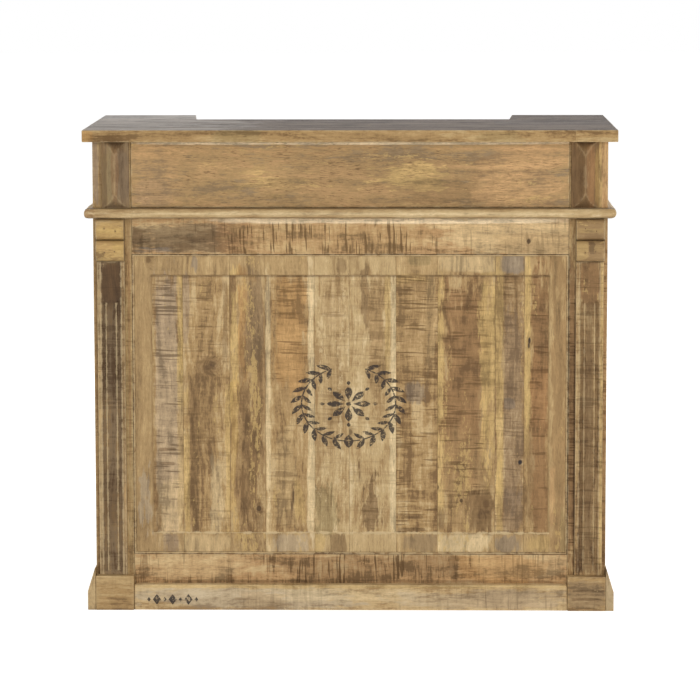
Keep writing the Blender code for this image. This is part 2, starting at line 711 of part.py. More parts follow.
def build_drawers():
    """Two inset drawers that slide out of the back on the board under them."""
    opening = (DIVIDER_X, WALL_X)
    centre = (opening[0] + opening[1]) / 2
    top = DRAWER_FLOOR + DRAWER_OPENING_HEIGHT
    front_y = (CENTRE_BACK_Y - FRONT_THICKNESS, CENTRE_BACK_Y)
    box_y = (FRAME_BACK_Y + DRAWER_BACK_ROOM, front_y[0] - GAP)
    box_z = (DRAWER_FLOOR + GAP, DRAWER_FLOOR + GAP + DRAWER_BOX_HEIGHT)
    near, far = opening[0] + DRAWER_GAP, opening[1] - DRAWER_GAP
    for side, sign in SIDES.items():
        x = span(sign, opening[0] + DOOR_GAP, opening[1] - DOOR_GAP)
        z = (DRAWER_FLOOR + DOOR_GAP, top - DOOR_GAP)
        front = board(f"drawer_front_{side}", x, front_y, z, "drawer_wood")
        box = board(f"drawer_box_{side}", span(sign, near, far), box_y, box_z, "inner_wood")
        hollow_x = span(sign, near + DRAWER_SIDE, far - DRAWER_SIDE)
        hollow_y = (box_y[0] + DRAWER_SIDE, box_y[1] + DRAWER_SIDE)
        form = bmesh.new()
        add_board(form, hollow_x, hollow_y, (box_z[0] + DRAWER_BOTTOM, box_z[1] + DRAWER_SIDE), arris=0)
        cut(box, make(f"drawer_hollow_{side}", form))
        form = bmesh.new()
        add_knob(form, sign * centre, (z[0] + z[1]) / 2)
        knob = make(f"drawer_knob_{side}", form, "dark_iron", smooth=True)
        hang([front, box, knob], f"drawer_{side}_slide", (sign * centre, CENTRE_BACK_Y, DRAWER_FLOOR))


def rolled_outline():
    """A hinge leaf from above, as (along, out) points: a flat tail that runs into a round knuckle."""
    meet = math.sqrt(KNUCKLE_RADIUS**2 - (KNUCKLE_RADIUS - LEAF_THICKNESS) ** 2)
    start = math.atan2(LEAF_THICKNESS - KNUCKLE_RADIUS, meet)
    reach = KNUCKLE_RADIUS + LEAF_WIDTH
    outline = [(0.0, -KNUCKLE_RADIUS), (reach, -KNUCKLE_RADIUS), (reach, LEAF_THICKNESS - KNUCKLE_RADIUS)]
    sweep = 3 * math.pi / 2 - start
    for i in range(PIN_SIDES):
        turn = start + sweep * i / PIN_SIDES
        outline.append((KNUCKLE_RADIUS * math.cos(turn), KNUCKLE_RADIUS * math.sin(turn)))
    return outline


def build_hinges():
    """Two butt hinges to a door: a wall leaf with the pin riveted in, and a door leaf bored to run on it."""
    third = LEAF_LENGTH / 3
    room = KNUCKLE_RADIUS + KNUCKLE_GAP
    door_leaves = {side: [] for side in SIDES}
    for side, sign in SIDES.items():
        x = (sign * HINGE_X - room, sign * HINGE_X + room)
        y = (HINGE_Y - room, HINGE_Y + room)
        axis = (sign * HINGE_X, HINGE_Y)
        for where, level in HINGE_LEVELS.items():
            name = f"{side}_{where}"
            low, high = level - LEAF_LENGTH / 2, level + LEAF_LENGTH / 2
            middle = (low + third - KNUCKLE_GAP / 2, high - third + KNUCKLE_GAP / 2)

            def along_wall(u, v, z):
                return axis[0] - sign * v, axis[1] + u, z

            def along_door(u, v, z):
                return axis[0] - sign * u, axis[1] + v, z

            form = bmesh.new()
            add_extrusion(form, rolled_outline(), along_wall, low, high)
            wall_leaf = make(f"hinge_wall_leaf_{name}", form, "hinge_steel")
            form = bmesh.new()
            add_board(form, x, y, middle, arris=0)
            cut(wall_leaf, make(f"wall_notch_{name}", form))
            join(wall_leaf, pin(f"hinge_pin_{name}", axis, low, high))

            form = bmesh.new()
            add_extrusion(form, rolled_outline(), along_door, low, high)
            door_leaf = make(f"hinge_door_leaf_{name}", form, "hinge_steel")
            form = bmesh.new()
            for z in ((low - third, middle[0] + KNUCKLE_GAP), (middle[1] - KNUCKLE_GAP, high + third)):
                add_board(form, x, y, z, arris=0)
            cut(door_leaf, make(f"door_notch_{name}", form))
            form = bmesh.new()
            add_cylinder(form, axis, PIN_RADIUS + GAP, low, high, PIN_SIDES)
            cut(door_leaf, make(f"bore_{name}", form))
            door_leaves[side].append(door_leaf)
    return door_leaves


def pin(name, axis, low, high):
    """A hinge pin with a button head past each end of the knuckles, as a helper to join to a leaf."""
    head = PIN_HEAD_HEIGHT
    profile = [
        (0.0, low - head),
        (PIN_HEAD_END_RADIUS, low - head),
        (PIN_HEAD_RADIUS, low - head / 2),
        (PIN_HEAD_RADIUS, low + head / 2),
        (PIN_RADIUS, low + head / 2),
        (PIN_RADIUS, high - head / 2),
        (PIN_HEAD_RADIUS, high - head / 2),
        (PIN_HEAD_RADIUS, high + head / 2),
        (PIN_HEAD_END_RADIUS, high + head),
        (0.0, high + head),
    ]
    form = bmesh.new()
    upright = Matrix.Translation((axis[0], axis[1], 0)) @ Matrix.Rotation(math.pi / 2, 4, "X")
    add_turning(form, profile, upright, PIN_SIDES)
    return make(name, form)


def build_doors(leaves):
    """Two inset doors, each a frame of stiles and rails round a thinner panel, hung at the inner walls."""
    z = (DOOR_BOTTOM, DOOR_TOP)
    y = (CENTRE_BACK_Y - DOOR_THICKNESS, CENTRE_BACK_Y)
    centre_y = (y[0] + y[1]) / 2
    panel_y = (centre_y - DOOR_PANEL_THICKNESS / 2, centre_y + DOOR_PANEL_THICKNESS / 2)
    near, far = DOOR_GAP / 2, WALL_X - DOOR_GAP
    for side, sign in SIDES.items():
        frame = board(f"door_frame_{side}", span(sign, near, far), y, z, "drawer_wood")
        inner = (near + DOOR_FRAME_WIDTH, far - DOOR_FRAME_WIDTH)
        opening_z = (z[0] + DOOR_FRAME_WIDTH, z[1] - DOOR_FRAME_WIDTH)
        form = bmesh.new()
        opening_y = (y[0] - DOOR_THICKNESS, y[1] + DOOR_THICKNESS)
        add_board(form, span(sign, *inner), opening_y, opening_z, arris=0)
        cut(frame, make(f"door_opening_{side}", form))
        panel_x = span(sign, inner[0] + GAP, inner[1] - GAP)
        panel_z = (opening_z[0] + GAP, opening_z[1] - GAP)
        panel = board(f"door_panel_{side}", panel_x, panel_y, panel_z, "inner_wood")
        form = bmesh.new()
        add_knob(form, sign * (near + DOOR_FRAME_WIDTH / 2), z[1] - DOOR_KNOB_DROP)
        knob = make(f"door_knob_{side}", form, "dark_iron", smooth=True)
        axis = (sign * HINGE_X, HINGE_Y, (z[0] + z[1]) / 2)
        hang([frame, panel, knob] + leaves[side], f"door_{side}_hinge", axis)


def main():
    """Builds the cabinet from the front to the back."""
    clear_scene()
    build_bar_top()
    build_front_frame()
    build_front_panel()
    build_panel_bead()
    build_moulding()
    build_diamond_blocks()
    build_corbels()
    build_pilasters()
    build_plinth()
    build_sides()
    build_bottle_columns()
    build_centre()
    build_drawers()
    build_doors(build_hinges())


main()
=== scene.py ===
"""Looks of the bar cabinet: worn mango boards, each with its own grain, saw marks, knots and arrises.

Metres, +Z up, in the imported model's frame. The front looks along -Y, and left is -X.
"""

import logging
import math
from dataclasses import dataclass, field, replace
from enum import Enum
from typing import Callable, Sequence

import bpy
import numpy as np
from mathutils import Euler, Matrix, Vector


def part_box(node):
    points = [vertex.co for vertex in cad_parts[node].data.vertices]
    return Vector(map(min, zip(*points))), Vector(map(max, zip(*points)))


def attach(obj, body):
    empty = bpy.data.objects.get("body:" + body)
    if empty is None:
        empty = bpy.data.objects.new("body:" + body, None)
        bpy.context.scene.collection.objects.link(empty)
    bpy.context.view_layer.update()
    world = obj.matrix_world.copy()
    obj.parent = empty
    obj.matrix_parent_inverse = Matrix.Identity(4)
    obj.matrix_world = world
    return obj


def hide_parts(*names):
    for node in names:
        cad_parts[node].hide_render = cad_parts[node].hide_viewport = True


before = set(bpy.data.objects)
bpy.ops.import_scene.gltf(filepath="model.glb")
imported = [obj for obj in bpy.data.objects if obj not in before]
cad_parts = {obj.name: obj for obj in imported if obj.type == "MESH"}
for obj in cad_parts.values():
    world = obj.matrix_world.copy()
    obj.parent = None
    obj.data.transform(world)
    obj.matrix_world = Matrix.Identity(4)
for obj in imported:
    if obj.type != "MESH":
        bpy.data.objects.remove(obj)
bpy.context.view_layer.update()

SIDES = {"left": -1, "right": 1}
BODY = "cabinet"
THROUGH = 9.0
ON_PLANE = 1e-6

log = logging.getLogger("bar_cabinet")

Array = np.ndarray
Relief = Callable[[Array], Array]
Span = tuple[float, float]
Triple = tuple[float, float, float]


class Grain(Enum):
    """Which way a board's fibres run, as the order of axes that gives (across, deep, along)."""

    ALONG_X = (2, 1, 0)
    ALONG_Y = (0, 2, 1)
    ALONG_Z = (0, 1, 2)


class Tone(Enum):
    """Wood tones as the eye reads them, in display values from 0 to 255."""

    # A near white used only for painted highlights.
    BONE = (240, 218, 180)
    PALE_STRAW = (216, 192, 148)
    CREAM = (204, 176, 130)
    STRAW = (192, 164, 118)
    PEACH = (188, 150, 104)
    HONEY = (174, 142, 96)
    TAN = (162, 131, 89)
    AMBER = (180, 136, 82)
    GOLD = (202, 170, 110)
    OCHRE = (190, 154, 88)
    ASH = (182, 158, 126)
    # The next two greys are painted sheen on the bar top: a grazing reflection laid into the wood's colour.
    SMOKE = (111, 105, 103)
    MIST = (184, 176, 168)
    OLIVE = (146, 126, 86)
    RUST = (150, 111, 72)
    GREY_BROWN = (147, 124, 93)
    MAUVE = (146, 124, 100)
    BARK = (126, 98, 65)
    UMBER = (100, 75, 48)
    DEEP = (70, 52, 36)
    INK = (34, 30, 34)
    SLATE = (134, 121, 106)
    FOG = (182, 168, 146)

    def linear(self) -> tuple[float, float, float, float]:
        """The tone as a linear colour with full opacity.

        Returns:
            Its red, green, blue and opacity.
        """
        shares = [channel / 255 for channel in self.value]
        curve = [s / 12.92 if s <= 0.04045 else ((s + 0.055) / 1.055) ** 2.4 for s in shares]
        return (curve[0], curve[1], curve[2], 1.0)


# Short for the tables of woods and marks below.
T = Tone


class MarkKind(Enum):
    """What a listed mark on a board is."""

    KNOT = "knot"
    STAIN = "stain"


@dataclass(frozen=True)
class Mark:
    """A knot or a soft stain at a place on a board.

    Args:
        at: the mark's middle, as x, y and z in the frame.
        size: how far it reaches from its middle along x, y and z.
        tone: its colour.
        strength: how much of the tone it lays on.
        kind: a knot turns the grain round it, a stain shifts the wood's own tones.
        sawn: how much rougher the saw left the wood there.
        ragged: how uneven its rim is.
    """

    at: Triple
    size: Triple
    tone: Tone = Tone.DEEP
    strength: float = 0.8
    kind: MarkKind = MarkKind.KNOT
    sawn: float = 0.0
    ragged: float = 1.0


def knot(
    tone: Tone, x: float, z: float, wide: float, strength: float, tall: float | None = None,
    ragged: float = 1.0,
) -> Mark:
    """A knot on a face that looks forward, in millimetres. Without tall, it is a quarter taller than wide."""
    size = (wide / 1000, THROUGH, (wide * 1.25 if tall is None else tall) / 1000)
    return Mark((x / 1000, 0.0, z / 1000), size, tone, strength, ragged=ragged)


def stains(*rows: tuple[Tone | float, ...], x: float = 0.0, z: float = 0.0) -> list[Mark]:
    """Stains on a face that looks forward.

    Args:
        rows: each has a tone, x from and to, z from and to in millimetres, and a strength, then where it
            matters how much rougher the saw left the wood there, and how ragged the rim is.
        x, z: where the rows count from, in metres.

    Returns:
        The marks in the same order.
    """
    marks = []
    for tone, left, right, foot, head, strength, *rest in rows:
        middle = ((left + right) / 2000 + x, 0.0, (foot + head) / 2000 + z)
        size = ((right - left) / 2000, THROUGH, (head - foot) / 2000)
        marks.append(Mark(middle, size, tone, strength, MarkKind.STAIN, *rest))
    return marks


def stain_at(
    tone: Tone, at: Triple, size: Triple, strength: float, sawn: float = 0.0, ragged: float = 1.0
) -> Mark:
    """A stain that keeps to its own depth, as on a board's edge or upper face."""
    return Mark(at, size, tone, strength, MarkKind.STAIN, sawn, ragged)


@dataclass(frozen=True)
class Timber:
    """How one board's wood looks.

    Args:
        deep, body, pale: the streaks' tones, from dark to light.
        flare: the tone of the bright flecks.
        flecks: how much of the board the flecks take, from 0 to 1.
        figure: how strongly the growth rings show.
        saw: how much of the band saw's marks is left.
        streak: how wide the streaks are, 1 being usual.
        roughness: the shader's roughness between the marks.
        contrast: how far the streaks' tones stand apart, 1 being usual.
        gloss: the shader's specular level.
        dash: how dark and dense the short dashes of the open grain are, from 0 to 1.
    """

    deep: Tone
    body: Tone
    pale: Tone
    flare: Tone
    flecks: float = 0.15
    figure: float = 0.35
    saw: float = 0.2
    streak: float = 1.0
    roughness: float = 0.6
    contrast: float = 1.0
    gloss: float = 0.28
    dash: float = 0.4


class Value:
    """What a node puts out. Sums, products and the like of values add Math nodes."""

    def __init__(self, graph: "Graph", socket: bpy.types.NodeSocket) -> None:
        """Keeps the socket and its graph."""
        self.graph, self.socket = graph, socket

    def __add__(self, other: "Given") -> "Value":
        """The sum."""
        return self.graph.math("ADD", self, other)

    def __sub__(self, other: "Given") -> "Value":
        """The difference."""
        return self.graph.math("SUBTRACT", self, other)

    def __rsub__(self, other: float) -> "Value":
        """A number less this."""
        return self.graph.math("SUBTRACT", other, self)

    def __mul__(self, other: "Given") -> "Value":
        """The product."""
        return self.graph.math("MULTIPLY", self, other)

    def __abs__(self) -> "Value":
        """This without its sign."""
        return self.graph.math("ABSOLUTE", self)

    def most(self, other: "Given") -> "Value":
        """The greater of two."""
        return self.graph.math("MAXIMUM", self, other)


Given = Value | float | Sequence[float]


class Graph:
    """A node tree with short ways to add nodes and join them."""

    def __init__(self, tree: bpy.types.NodeTree) -> None:
        """Keeps the tree."""
        self.tree = tree

    def feed(self, socket: bpy.types.NodeSocket, value: Given) -> None:
        """Links a socket to a value, or sets its own.

        Args:
            socket: the input.
            value: a value to link, or what the socket is set to.
        """
        if isinstance(value, Value):
            self.tree.links.new(value.socket, socket)
        else:
            socket.default_value = value

    def add(self, kind: str, *values: Given, **settings: object) -> bpy.types.Node:
        """Adds a node, sets its properties and feeds its first sockets in order.

        Args:
            kind: its type, without ShaderNode.
            values: what its first sockets get.
            settings: its properties.

        Returns:
            The node.
        """
        node = self.tree.nodes.new(f"ShaderNode{kind}")
        for name, setting in settings.items():
            setattr(node, name, setting)
        for socket, value in zip(node.inputs, values):
            self.feed(socket, value)
        return node

    def fill(self, node: bpy.types.Node, **values: Given) -> None:
        """Feeds a node's sockets by name, with _ for a space."""
        for name, value in values.items():
            self.feed(node.inputs[name.replace("_", " ")], value)

    def math(self, operation: str, *values: Given) -> Value:
        """A Math node's result."""
        return Value(self, self.add("Math", *values, operation=operation).outputs[0])

    def vector(self, operation: str, *values: Given) -> Value:
        """A Vector Math node's result, which is a number for a length."""
        node = self.add("VectorMath", *values, operation=operation)
        return Value(self, node.outputs["Value" if operation == "LENGTH" else "Vector"])

    def noise(self, at: Value, scale: Triple, detail: float = 2.0, rough: float = 0.5) -> Value:
        """Smooth noise, which varies once in each cell.

        Args:
            at: the place.
            scale: how many cells a metre has along each axis.
            detail: how many finer layers are added.
            rough: how strong these are.

        Returns:
            About 0.25 to 0.75, round 0.5.
        """
        stretched = self.vector("MULTIPLY", at, scale)
        node = self.add("TexNoise")
        self.fill(node, Vector=stretched, Scale=1.0, Detail=detail, Roughness=rough)
        return Value(self, node.outputs["Fac"])

    def ramp(self, value: Given, low: Given, high: Given, start: Given = 0.0, end: Given = 1.0) -> Value:
        """A value eased from start at low to end at high."""
        node = self.add("MapRange", value, low, high, start, end, interpolation_type="SMOOTHSTEP")
        return Value(self, node.outputs[0])

    def blend(self, share: Given, first: Given, second: Given) -> Value:
        """Two colours mixed by a share.

        Args:
            share: how much of the second.
            first, second: the colours.

        Returns:
            The mixture.
        """
        node = self.add("Mix", share, data_type="RGBA", clamp_result=False)
        self.feed(node.inputs[6], first)
        self.feed(node.inputs[7], second)
        return Value(self, node.outputs[2])

    def split(self, vector: Value) -> list[Value]:
        """The X, Y and Z of a vector."""
        return [Value(self, socket) for socket in self.add("SeparateXYZ", vector).outputs]

    def join(self, x: Given, y: Given, z: Given) -> Value:
        """A vector from its X, Y and Z."""
        return Value(self, self.add("CombineXYZ", x, y, z).outputs[0])

    def distance(self, x: Value, z: Value) -> Value:
        """How far a place is from the origin."""
        return self.math("SQRT", x * x + z * z)

    def attribute(self, name: str) -> Value:
        """The number that the mesh stores at each point under a name."""
        node = self.add("Attribute", attribute_name=name, attribute_type="GEOMETRY")
        return Value(self, node.outputs["Fac"])

    def seen(self) -> Value:
        """Finds rays from the camera, and those that gloss or glass sends on.

        Returns:
            1 for such a ray, 0 for any other.
        """
        rays = self.add("LightPath").outputs
        ways = ("Camera", "Glossy", "Transmission")
        camera, glossy, through = (Value(self, rays[f"Is {way} Ray"]) for way in ways)
        return camera.most(glossy).most(through)


class Kit:
    """The shared node groups, each built once and placed in any material."""

    KINDS = dict.fromkeys(("Vector", "Grain", "At", "Size"), "Vector")
    KINDS |= dict.fromkeys(("Color", "Tone", "Deep", "Body", "Pale", "Flare"), "Color")

    def __init__(self) -> None:
        """Starts with no group built."""
        self.trees: dict[str, bpy.types.NodeTree] = {}

    def start(self, name: str, inputs: str, outputs: str) -> tuple[Graph, dict[str, Value], bpy.types.Node]:
        """Makes an empty group.

        Args:
            name: the group's name.
            inputs, outputs: its sockets' names with spaces between; KINDS gives those that aren't numbers.

        Returns:
            The group's graph, its inputs by name, and its output node.
        """
        tree = bpy.data.node_groups.new(name, "ShaderNodeTree")
        for way, labels in (("INPUT", inputs), ("OUTPUT", outputs)):
            for label in labels.split():
                kind = self.KINDS.get(label, "Float")
                tree.interface.new_socket(label, in_out=way, socket_type=f"NodeSocket{kind}")
        graph = Graph(tree)
        source, sink = tree.nodes.new("NodeGroupInput"), tree.nodes.new("NodeGroupOutput")
        self.trees[name] = tree
        return graph, {socket.name: Value(graph, socket) for socket in source.outputs if socket.name}, sink

    def place(self, graph: Graph, name: str, **values: Given) -> dict[str, Value]:
        """Puts a group in a graph, and builds it first if nothing has used it yet.

        Args:
            graph: where it goes.
            name: the group's name.
            values: what its sockets get, by name.

        Returns:
            What it puts out, by name.
        """
        if name not in self.trees:
            getattr(self, f"build_{name.lower()}")()
        node = graph.add("Group", node_tree=self.trees[name])
        graph.fill(node, **values)
        return {socket.name: Value(graph, socket) for socket in node.outputs}

    def shifted(self, graph: Graph, given: dict[str, Value]) -> Value:
        """The group's place moved by its seed, so that no two boards share a pattern."""
        shift = graph.join(*(given["Seed"] * factor for factor in (1.73, 0.91, 2.37)))
        return graph.vector("ADD", given["Vector"], shift)

    def offset(self, graph: Graph, given: dict[str, Value]) -> Value:
        """A place's offset from a mark's middle, as shares of the mark's size."""
        return graph.vector("DIVIDE", graph.vector("SUBTRACT", given["Vector"], given["At"]), given["Size"])

    def build_timber(self) -> None:
        """Streaks, growth rings and dashes: noise drawn out along the grain, and its contour lines."""
        inputs = "Vector Seed Turn Shift Streak Contrast Figure Flecks Sawn Dash Deep Body Pale Flare"
        graph, given, sink = self.start("Timber", inputs, "Color Height")
        noise, ramp, blend = graph.noise, graph.ramp, graph.blend
        place = self.shifted(graph, given)
        wander = noise(place, (5.0, 5.0, 3.2)) - 0.5
        bent = graph.vector("ADD", place, graph.join(given["Turn"] * 0.012 + wander * 0.04, 0.0, 0.0))
        wide = graph.vector("MULTIPLY", bent, graph.join(given["Streak"], given["Streak"], 1.0))
        broad = noise(wide, (46.0, 30.0, 2.4), 3.0, 0.55)
        middling = noise(wide, (120.0, 80.0, 12.0), 3.0, 0.65)
        fine = noise(bent, (290.0, 200.0, 27.0), 3.0, 0.7)
        blotch = noise(place, (26.0, 20.0, 13.0), 4.0, 0.62)
        fuzz = noise(place, (190.0, 150.0, 110.0), 3.0, 0.7)
        contour = noise(bent, (9.0, 9.0, 1.3), 1.0, 0.4) + given["Turn"] * 0.07 + fine * 0.03
        rings = graph.math("SINE", contour * 95.0) * given["Figure"] * 0.1
        tone = (fine - 0.5) * (0.9 - given["Sawn"] * 0.65).most(0.1)
        for layer, weight in ((broad, 1.1), (middling, 0.55), (blotch, 1.0), (fuzz, 0.5)):
            tone += (layer - 0.5) * weight
        tone = tone * given["Contrast"] + rings + given["Shift"]
        colour = blend(ramp(tone, -0.3, 0.02), given["Deep"], given["Body"])
        colour = blend(ramp(tone, -0.02, 0.32), colour, given["Pale"])
        spot = noise(wide, (34.0, 24.0, 4.0)) * 0.6 + noise(place, (150.0, 120.0, 60.0), 3.0, 0.7) * 0.55
        edge = 0.76 - given["Flecks"] * 0.28
        colour = blend(ramp(spot, edge, edge + 0.06) * 0.6, colour, given["Flare"])
        start = 0.66 - given["Dash"] * 0.12 + (0.5 - blotch) * 0.5
        dashes = ramp(noise(bent, (520.0, 400.0, 50.0), 3.0, 0.65), start, start + 0.14)
        colour = blend(dashes * given["Dash"], colour, Tone.UMBER.linear())
        pores = ramp(noise(bent, (1500.0, 1300.0, 90.0), 1.0), 0.6, 0.68)
        colour = blend(pores * 0.25, colour, Tone.UMBER.linear())
        graph.fill(sink, Color=colour, Height=fine * 0.9 - pores * 0.5 + rings * 1.5)

    def build_saw(self) -> None:
        """A band saw's marks: soft bands and thin broken lines across the grain, thick in some places."""
        graph, given, sink = self.start("Saw", "Vector Seed Amount", "Cut Band Height")
        noise, amount, place = graph.noise, given["Amount"], self.shifted(graph, given)
        x, y, z = graph.split(place)
        wobble = noise(place, (11.0, 1.0, 4.0), 1.0) - 0.5
        rows = graph.join(x, y, x * 0.02 + z + wobble * 0.005)
        level = noise(rows, (12.0, 6.0, 205.0), 1.0) * 0.58 + noise(rows, (9.0, 1.0, 48.0)) * 0.42
        edge = 0.74 - noise(place, (13.0, 9.0, 8.0), 2.5, 0.55) * 0.32 - amount * 0.03
        cut = graph.ramp(level, edge, edge + 0.045) * graph.math("MINIMUM", amount, 1.0)
        band = noise(rows, (11.0, 4.0, 70.0), 3.0, 0.65) - 0.5
        fray = noise(rows, (45.0, 30.0, 260.0), 1.0, 0.6) - 0.5
        band = (band + fray * 0.35) * 1.15 * amount
        graph.fill(sink, Cut=cut, Band=band, Height=band * 1.2 - cut)

    def build_knot(self) -> None:
        """How near a place is to a knot: 1 in its middle, 0 past its reach, with a ragged rim."""
        graph, given, sink = self.start("Knot", "Vector At Size Ragged", "Core Near")
        ragged = graph.noise(given["Vector"], (110.0, 110.0, 70.0), 4.0, 0.7) - 0.5
        reach = graph.vector("LENGTH", self.offset(graph, given)) + ragged * given["Ragged"]
        graph.fill(sink, Core=graph.ramp(reach, 1.2, 0.6), Near=graph.ramp(reach, 3.0, 0.6))

    def build_patch(self) -> None:
        """A stain's share: 1 inside a rounded box, its rim broken up along the grain."""
        graph, given, sink = self.start("Patch", "Vector Grain At Size Ragged", "Share")
        off = self.offset(graph, given)
        reach = graph.math("SQRT", graph.vector("LENGTH", graph.vector("MULTIPLY", off, off)))
        small = graph.noise(given["Grain"], (110.0, 80.0, 24.0), 3.0, 0.65) - 0.5
        large = graph.noise(given["Grain"], (14.0, 14.0, 5.0), 2.0, 0.6) - 0.5
        reach += (small + large) * given["Ragged"] * 1.5
        graph.fill(sink, Share=graph.ramp(reach, 1.16, 0.8))

    def build_tint(self) -> None:
        """Draws a palette's three tones towards a stain's tone, keeping dark, middle and light apart."""
        graph, given, sink = self.start("Tint", "Share Tone Deep Body Pale", "Deep Body Pale")
        for label, share in (("Deep", 0.6), ("Body", 1.0), ("Pale", 1.32)):
            scaled = graph.vector("MULTIPLY", given["Tone"], (share, share, share))
            graph.fill(sink, **{label: graph.blend(given["Share"], given[label], scaled)})

    def build_wear(self) -> None:
        """Where an arris is rubbed pale, and where a painted highlight lies: near the stored edge distance's
        zero, broken up by noise.
        """
        graph, given, sink = self.start("Wear", "Vector Edge Reach", "Worn")
        uneven = graph.noise(given["Vector"], (55.0, 55.0, 55.0), 3.0, 0.7)
        reach = given["Reach"] * graph.ramp(uneven, 0.38, 0.66, 0.25, 2.0)
        graph.fill(sink, Worn=graph.ramp(given["Edge"], reach, 0.0))

    def petals(
        self, graph: Graph, place: tuple[Value, Value], count: int, radius: float, petal: Span, lean: float
    ) -> Value:
        """A ring of leaf shapes round the origin.

        The angle is cut into equal cells. In each, a point's place along and across the leaf comes from
        turning its offset by the lean, and it is in the leaf where across < width * (1 - (along / length)^2).

        Args:
            place: x and z, from the ring's middle.
            count: how many leaves.
            radius: how far their middles are from the ring's.
            petal: a leaf's half length and half width.
            lean: the angle between a leaf and the radius.

        Returns:
            1 in a leaf, 0 outside it.
        """
        cells = graph.math("FRACT", graph.math("ARCTAN2", *place) * (count / (2 * math.pi)) + 50.5)
        around = (cells - 0.5) * (2 * math.pi * radius / count)
        out = graph.distance(*place) - radius
        share = (around * math.sin(lean) + out * math.cos(lean)) * (1 / petal[0])
        across = around * math.cos(lean) - out * math.sin(lean)
        return graph.ramp((1.0 - share * share) * petal[1] - abs(across), -0.0004, 0.0004)

    def build_wreath(self) -> None:
        """A stencilled wreath of leaves, open at the top, round a rosette of eight petals."""
        graph, given, sink = self.start("Wreath", "Vector", "Ink")
        x, _, z = graph.split(given["Vector"])
        place = (abs(x) * 0.8, z)
        distance = graph.distance(*place)
        # Each ring: how many leaves, how far out, a leaf's half length and half width, and its lean.
        outer, inner, rosette, small = (
            self.petals(graph, place, *ring) for ring in (
                (26, 0.0945, (0.015, 0.005), 0.75), (26, 0.0765, (0.012, 0.004), -0.75),
                (8, 0.0235, (0.0165, 0.0062), 0.0), (8, 0.048, (0.005, 0.0034), 0.0),
            )
        )
        stem = graph.ramp(abs(distance - 0.0855), 0.0017, 0.001)
        gap = graph.math("GREATER_THAN", graph.math("ARCTAN2", *place), 0.36)
        middle = rosette.most(graph.ramp(distance, 0.005, 0.0043)).most(small)
        graph.fill(sink, Ink=(outer.most(inner).most(stem) * gap).most(middle))

    def build_lozenges(self) -> None:
        """A row of stencilled lozenges along X, every second one small."""
        graph, given, sink = self.start("Lozenges", "Vector Reach", "Ink")
        x, _, z = graph.split(given["Vector"])
        pitch = 0.036
        shapes = []
        for shift, size in ((0.0, 0.013), (0.5, 0.006)):
            aside = abs(graph.math("FRACT", x * (1 / pitch) + (50.5 + shift)) - 0.5) * pitch
            shapes.append(graph.ramp(aside * 1.35 + abs(z), size, size - 0.0008))
        within = graph.math("LESS_THAN", abs(x), given["Reach"])
        graph.fill(sink, Ink=shapes[0].most(shapes[1]) * within)


KIT = Kit()

# How much of its tone each thing lays on the wood: saw cuts, knots' haloes, painted shade and ink.
CUT_SHARE, HALO_SHARE, SHADE_SHARE, INK_SHARE = 0.82, 0.28, 0.8, 0.9
# How much of the saw's marks and of the contrast the plane took off, and how far it drew the wood to straw.
PLANED_SAW, PLANED_CONTRAST, PLANED_STRAW = 0.85, 0.35, 0.35
# How far the grain's pattern jumps where a planed border starts.
PLANED_JUMP = 3.3
# A saw cut's red, green and blue, as shares of the dark streaks'.
CUT_TONE = (0.62, 0.58, 0.55)
# The bump's strength, and its height in metres.
WOOD_BUMP = (0.55, 0.0006)
METAL_BUMP = (0.35, 0.0004)
WORN_REACH = 0.0028
# The ink is only on what faces forward of here.
INK_FRONT = (-0.228, -0.23)


@dataclass(frozen=True)
class Stencil:
    """An ornament in ink on a face that looks forward.

    Args:
        group: the node group that draws it.
        at: its middle, as x and z.
        reach: half its length, where the group asks for it.
    """

    group: str
    at: tuple[float, float]
    reach: float | None = None


def new_material(name: str) -> tuple[bpy.types.Material, Graph, bpy.types.Node]:
    """Makes a material.

    Args:
        name: its name.

    Returns:
        The material, its graph and its shader.
    """
    material = bpy.data.materials.new(name)
    material.use_nodes = True
    return material, Graph(material.node_tree), material.node_tree.nodes["Principled BSDF"]


def dress(
    graph: Graph, shader: bpy.types.Node, colour: Value, roughness: Value, height: Value, bumps: Span
) -> None:
    """Feeds a shader its colour, roughness and bump.

    Args:
        graph, shader: the material's.
        colour, roughness: what the shader gets.
        height: how high each place of the bump stands.
        bumps: the bump's strength and distance.
    """
    bump = graph.add("Bump")
    graph.fill(bump, Strength=bumps[0], Distance=bumps[1], Height=height)
    graph.fill(shader, Base_Color=colour, Roughness=roughness, Normal=Value(graph, bump.outputs["Normal"]))


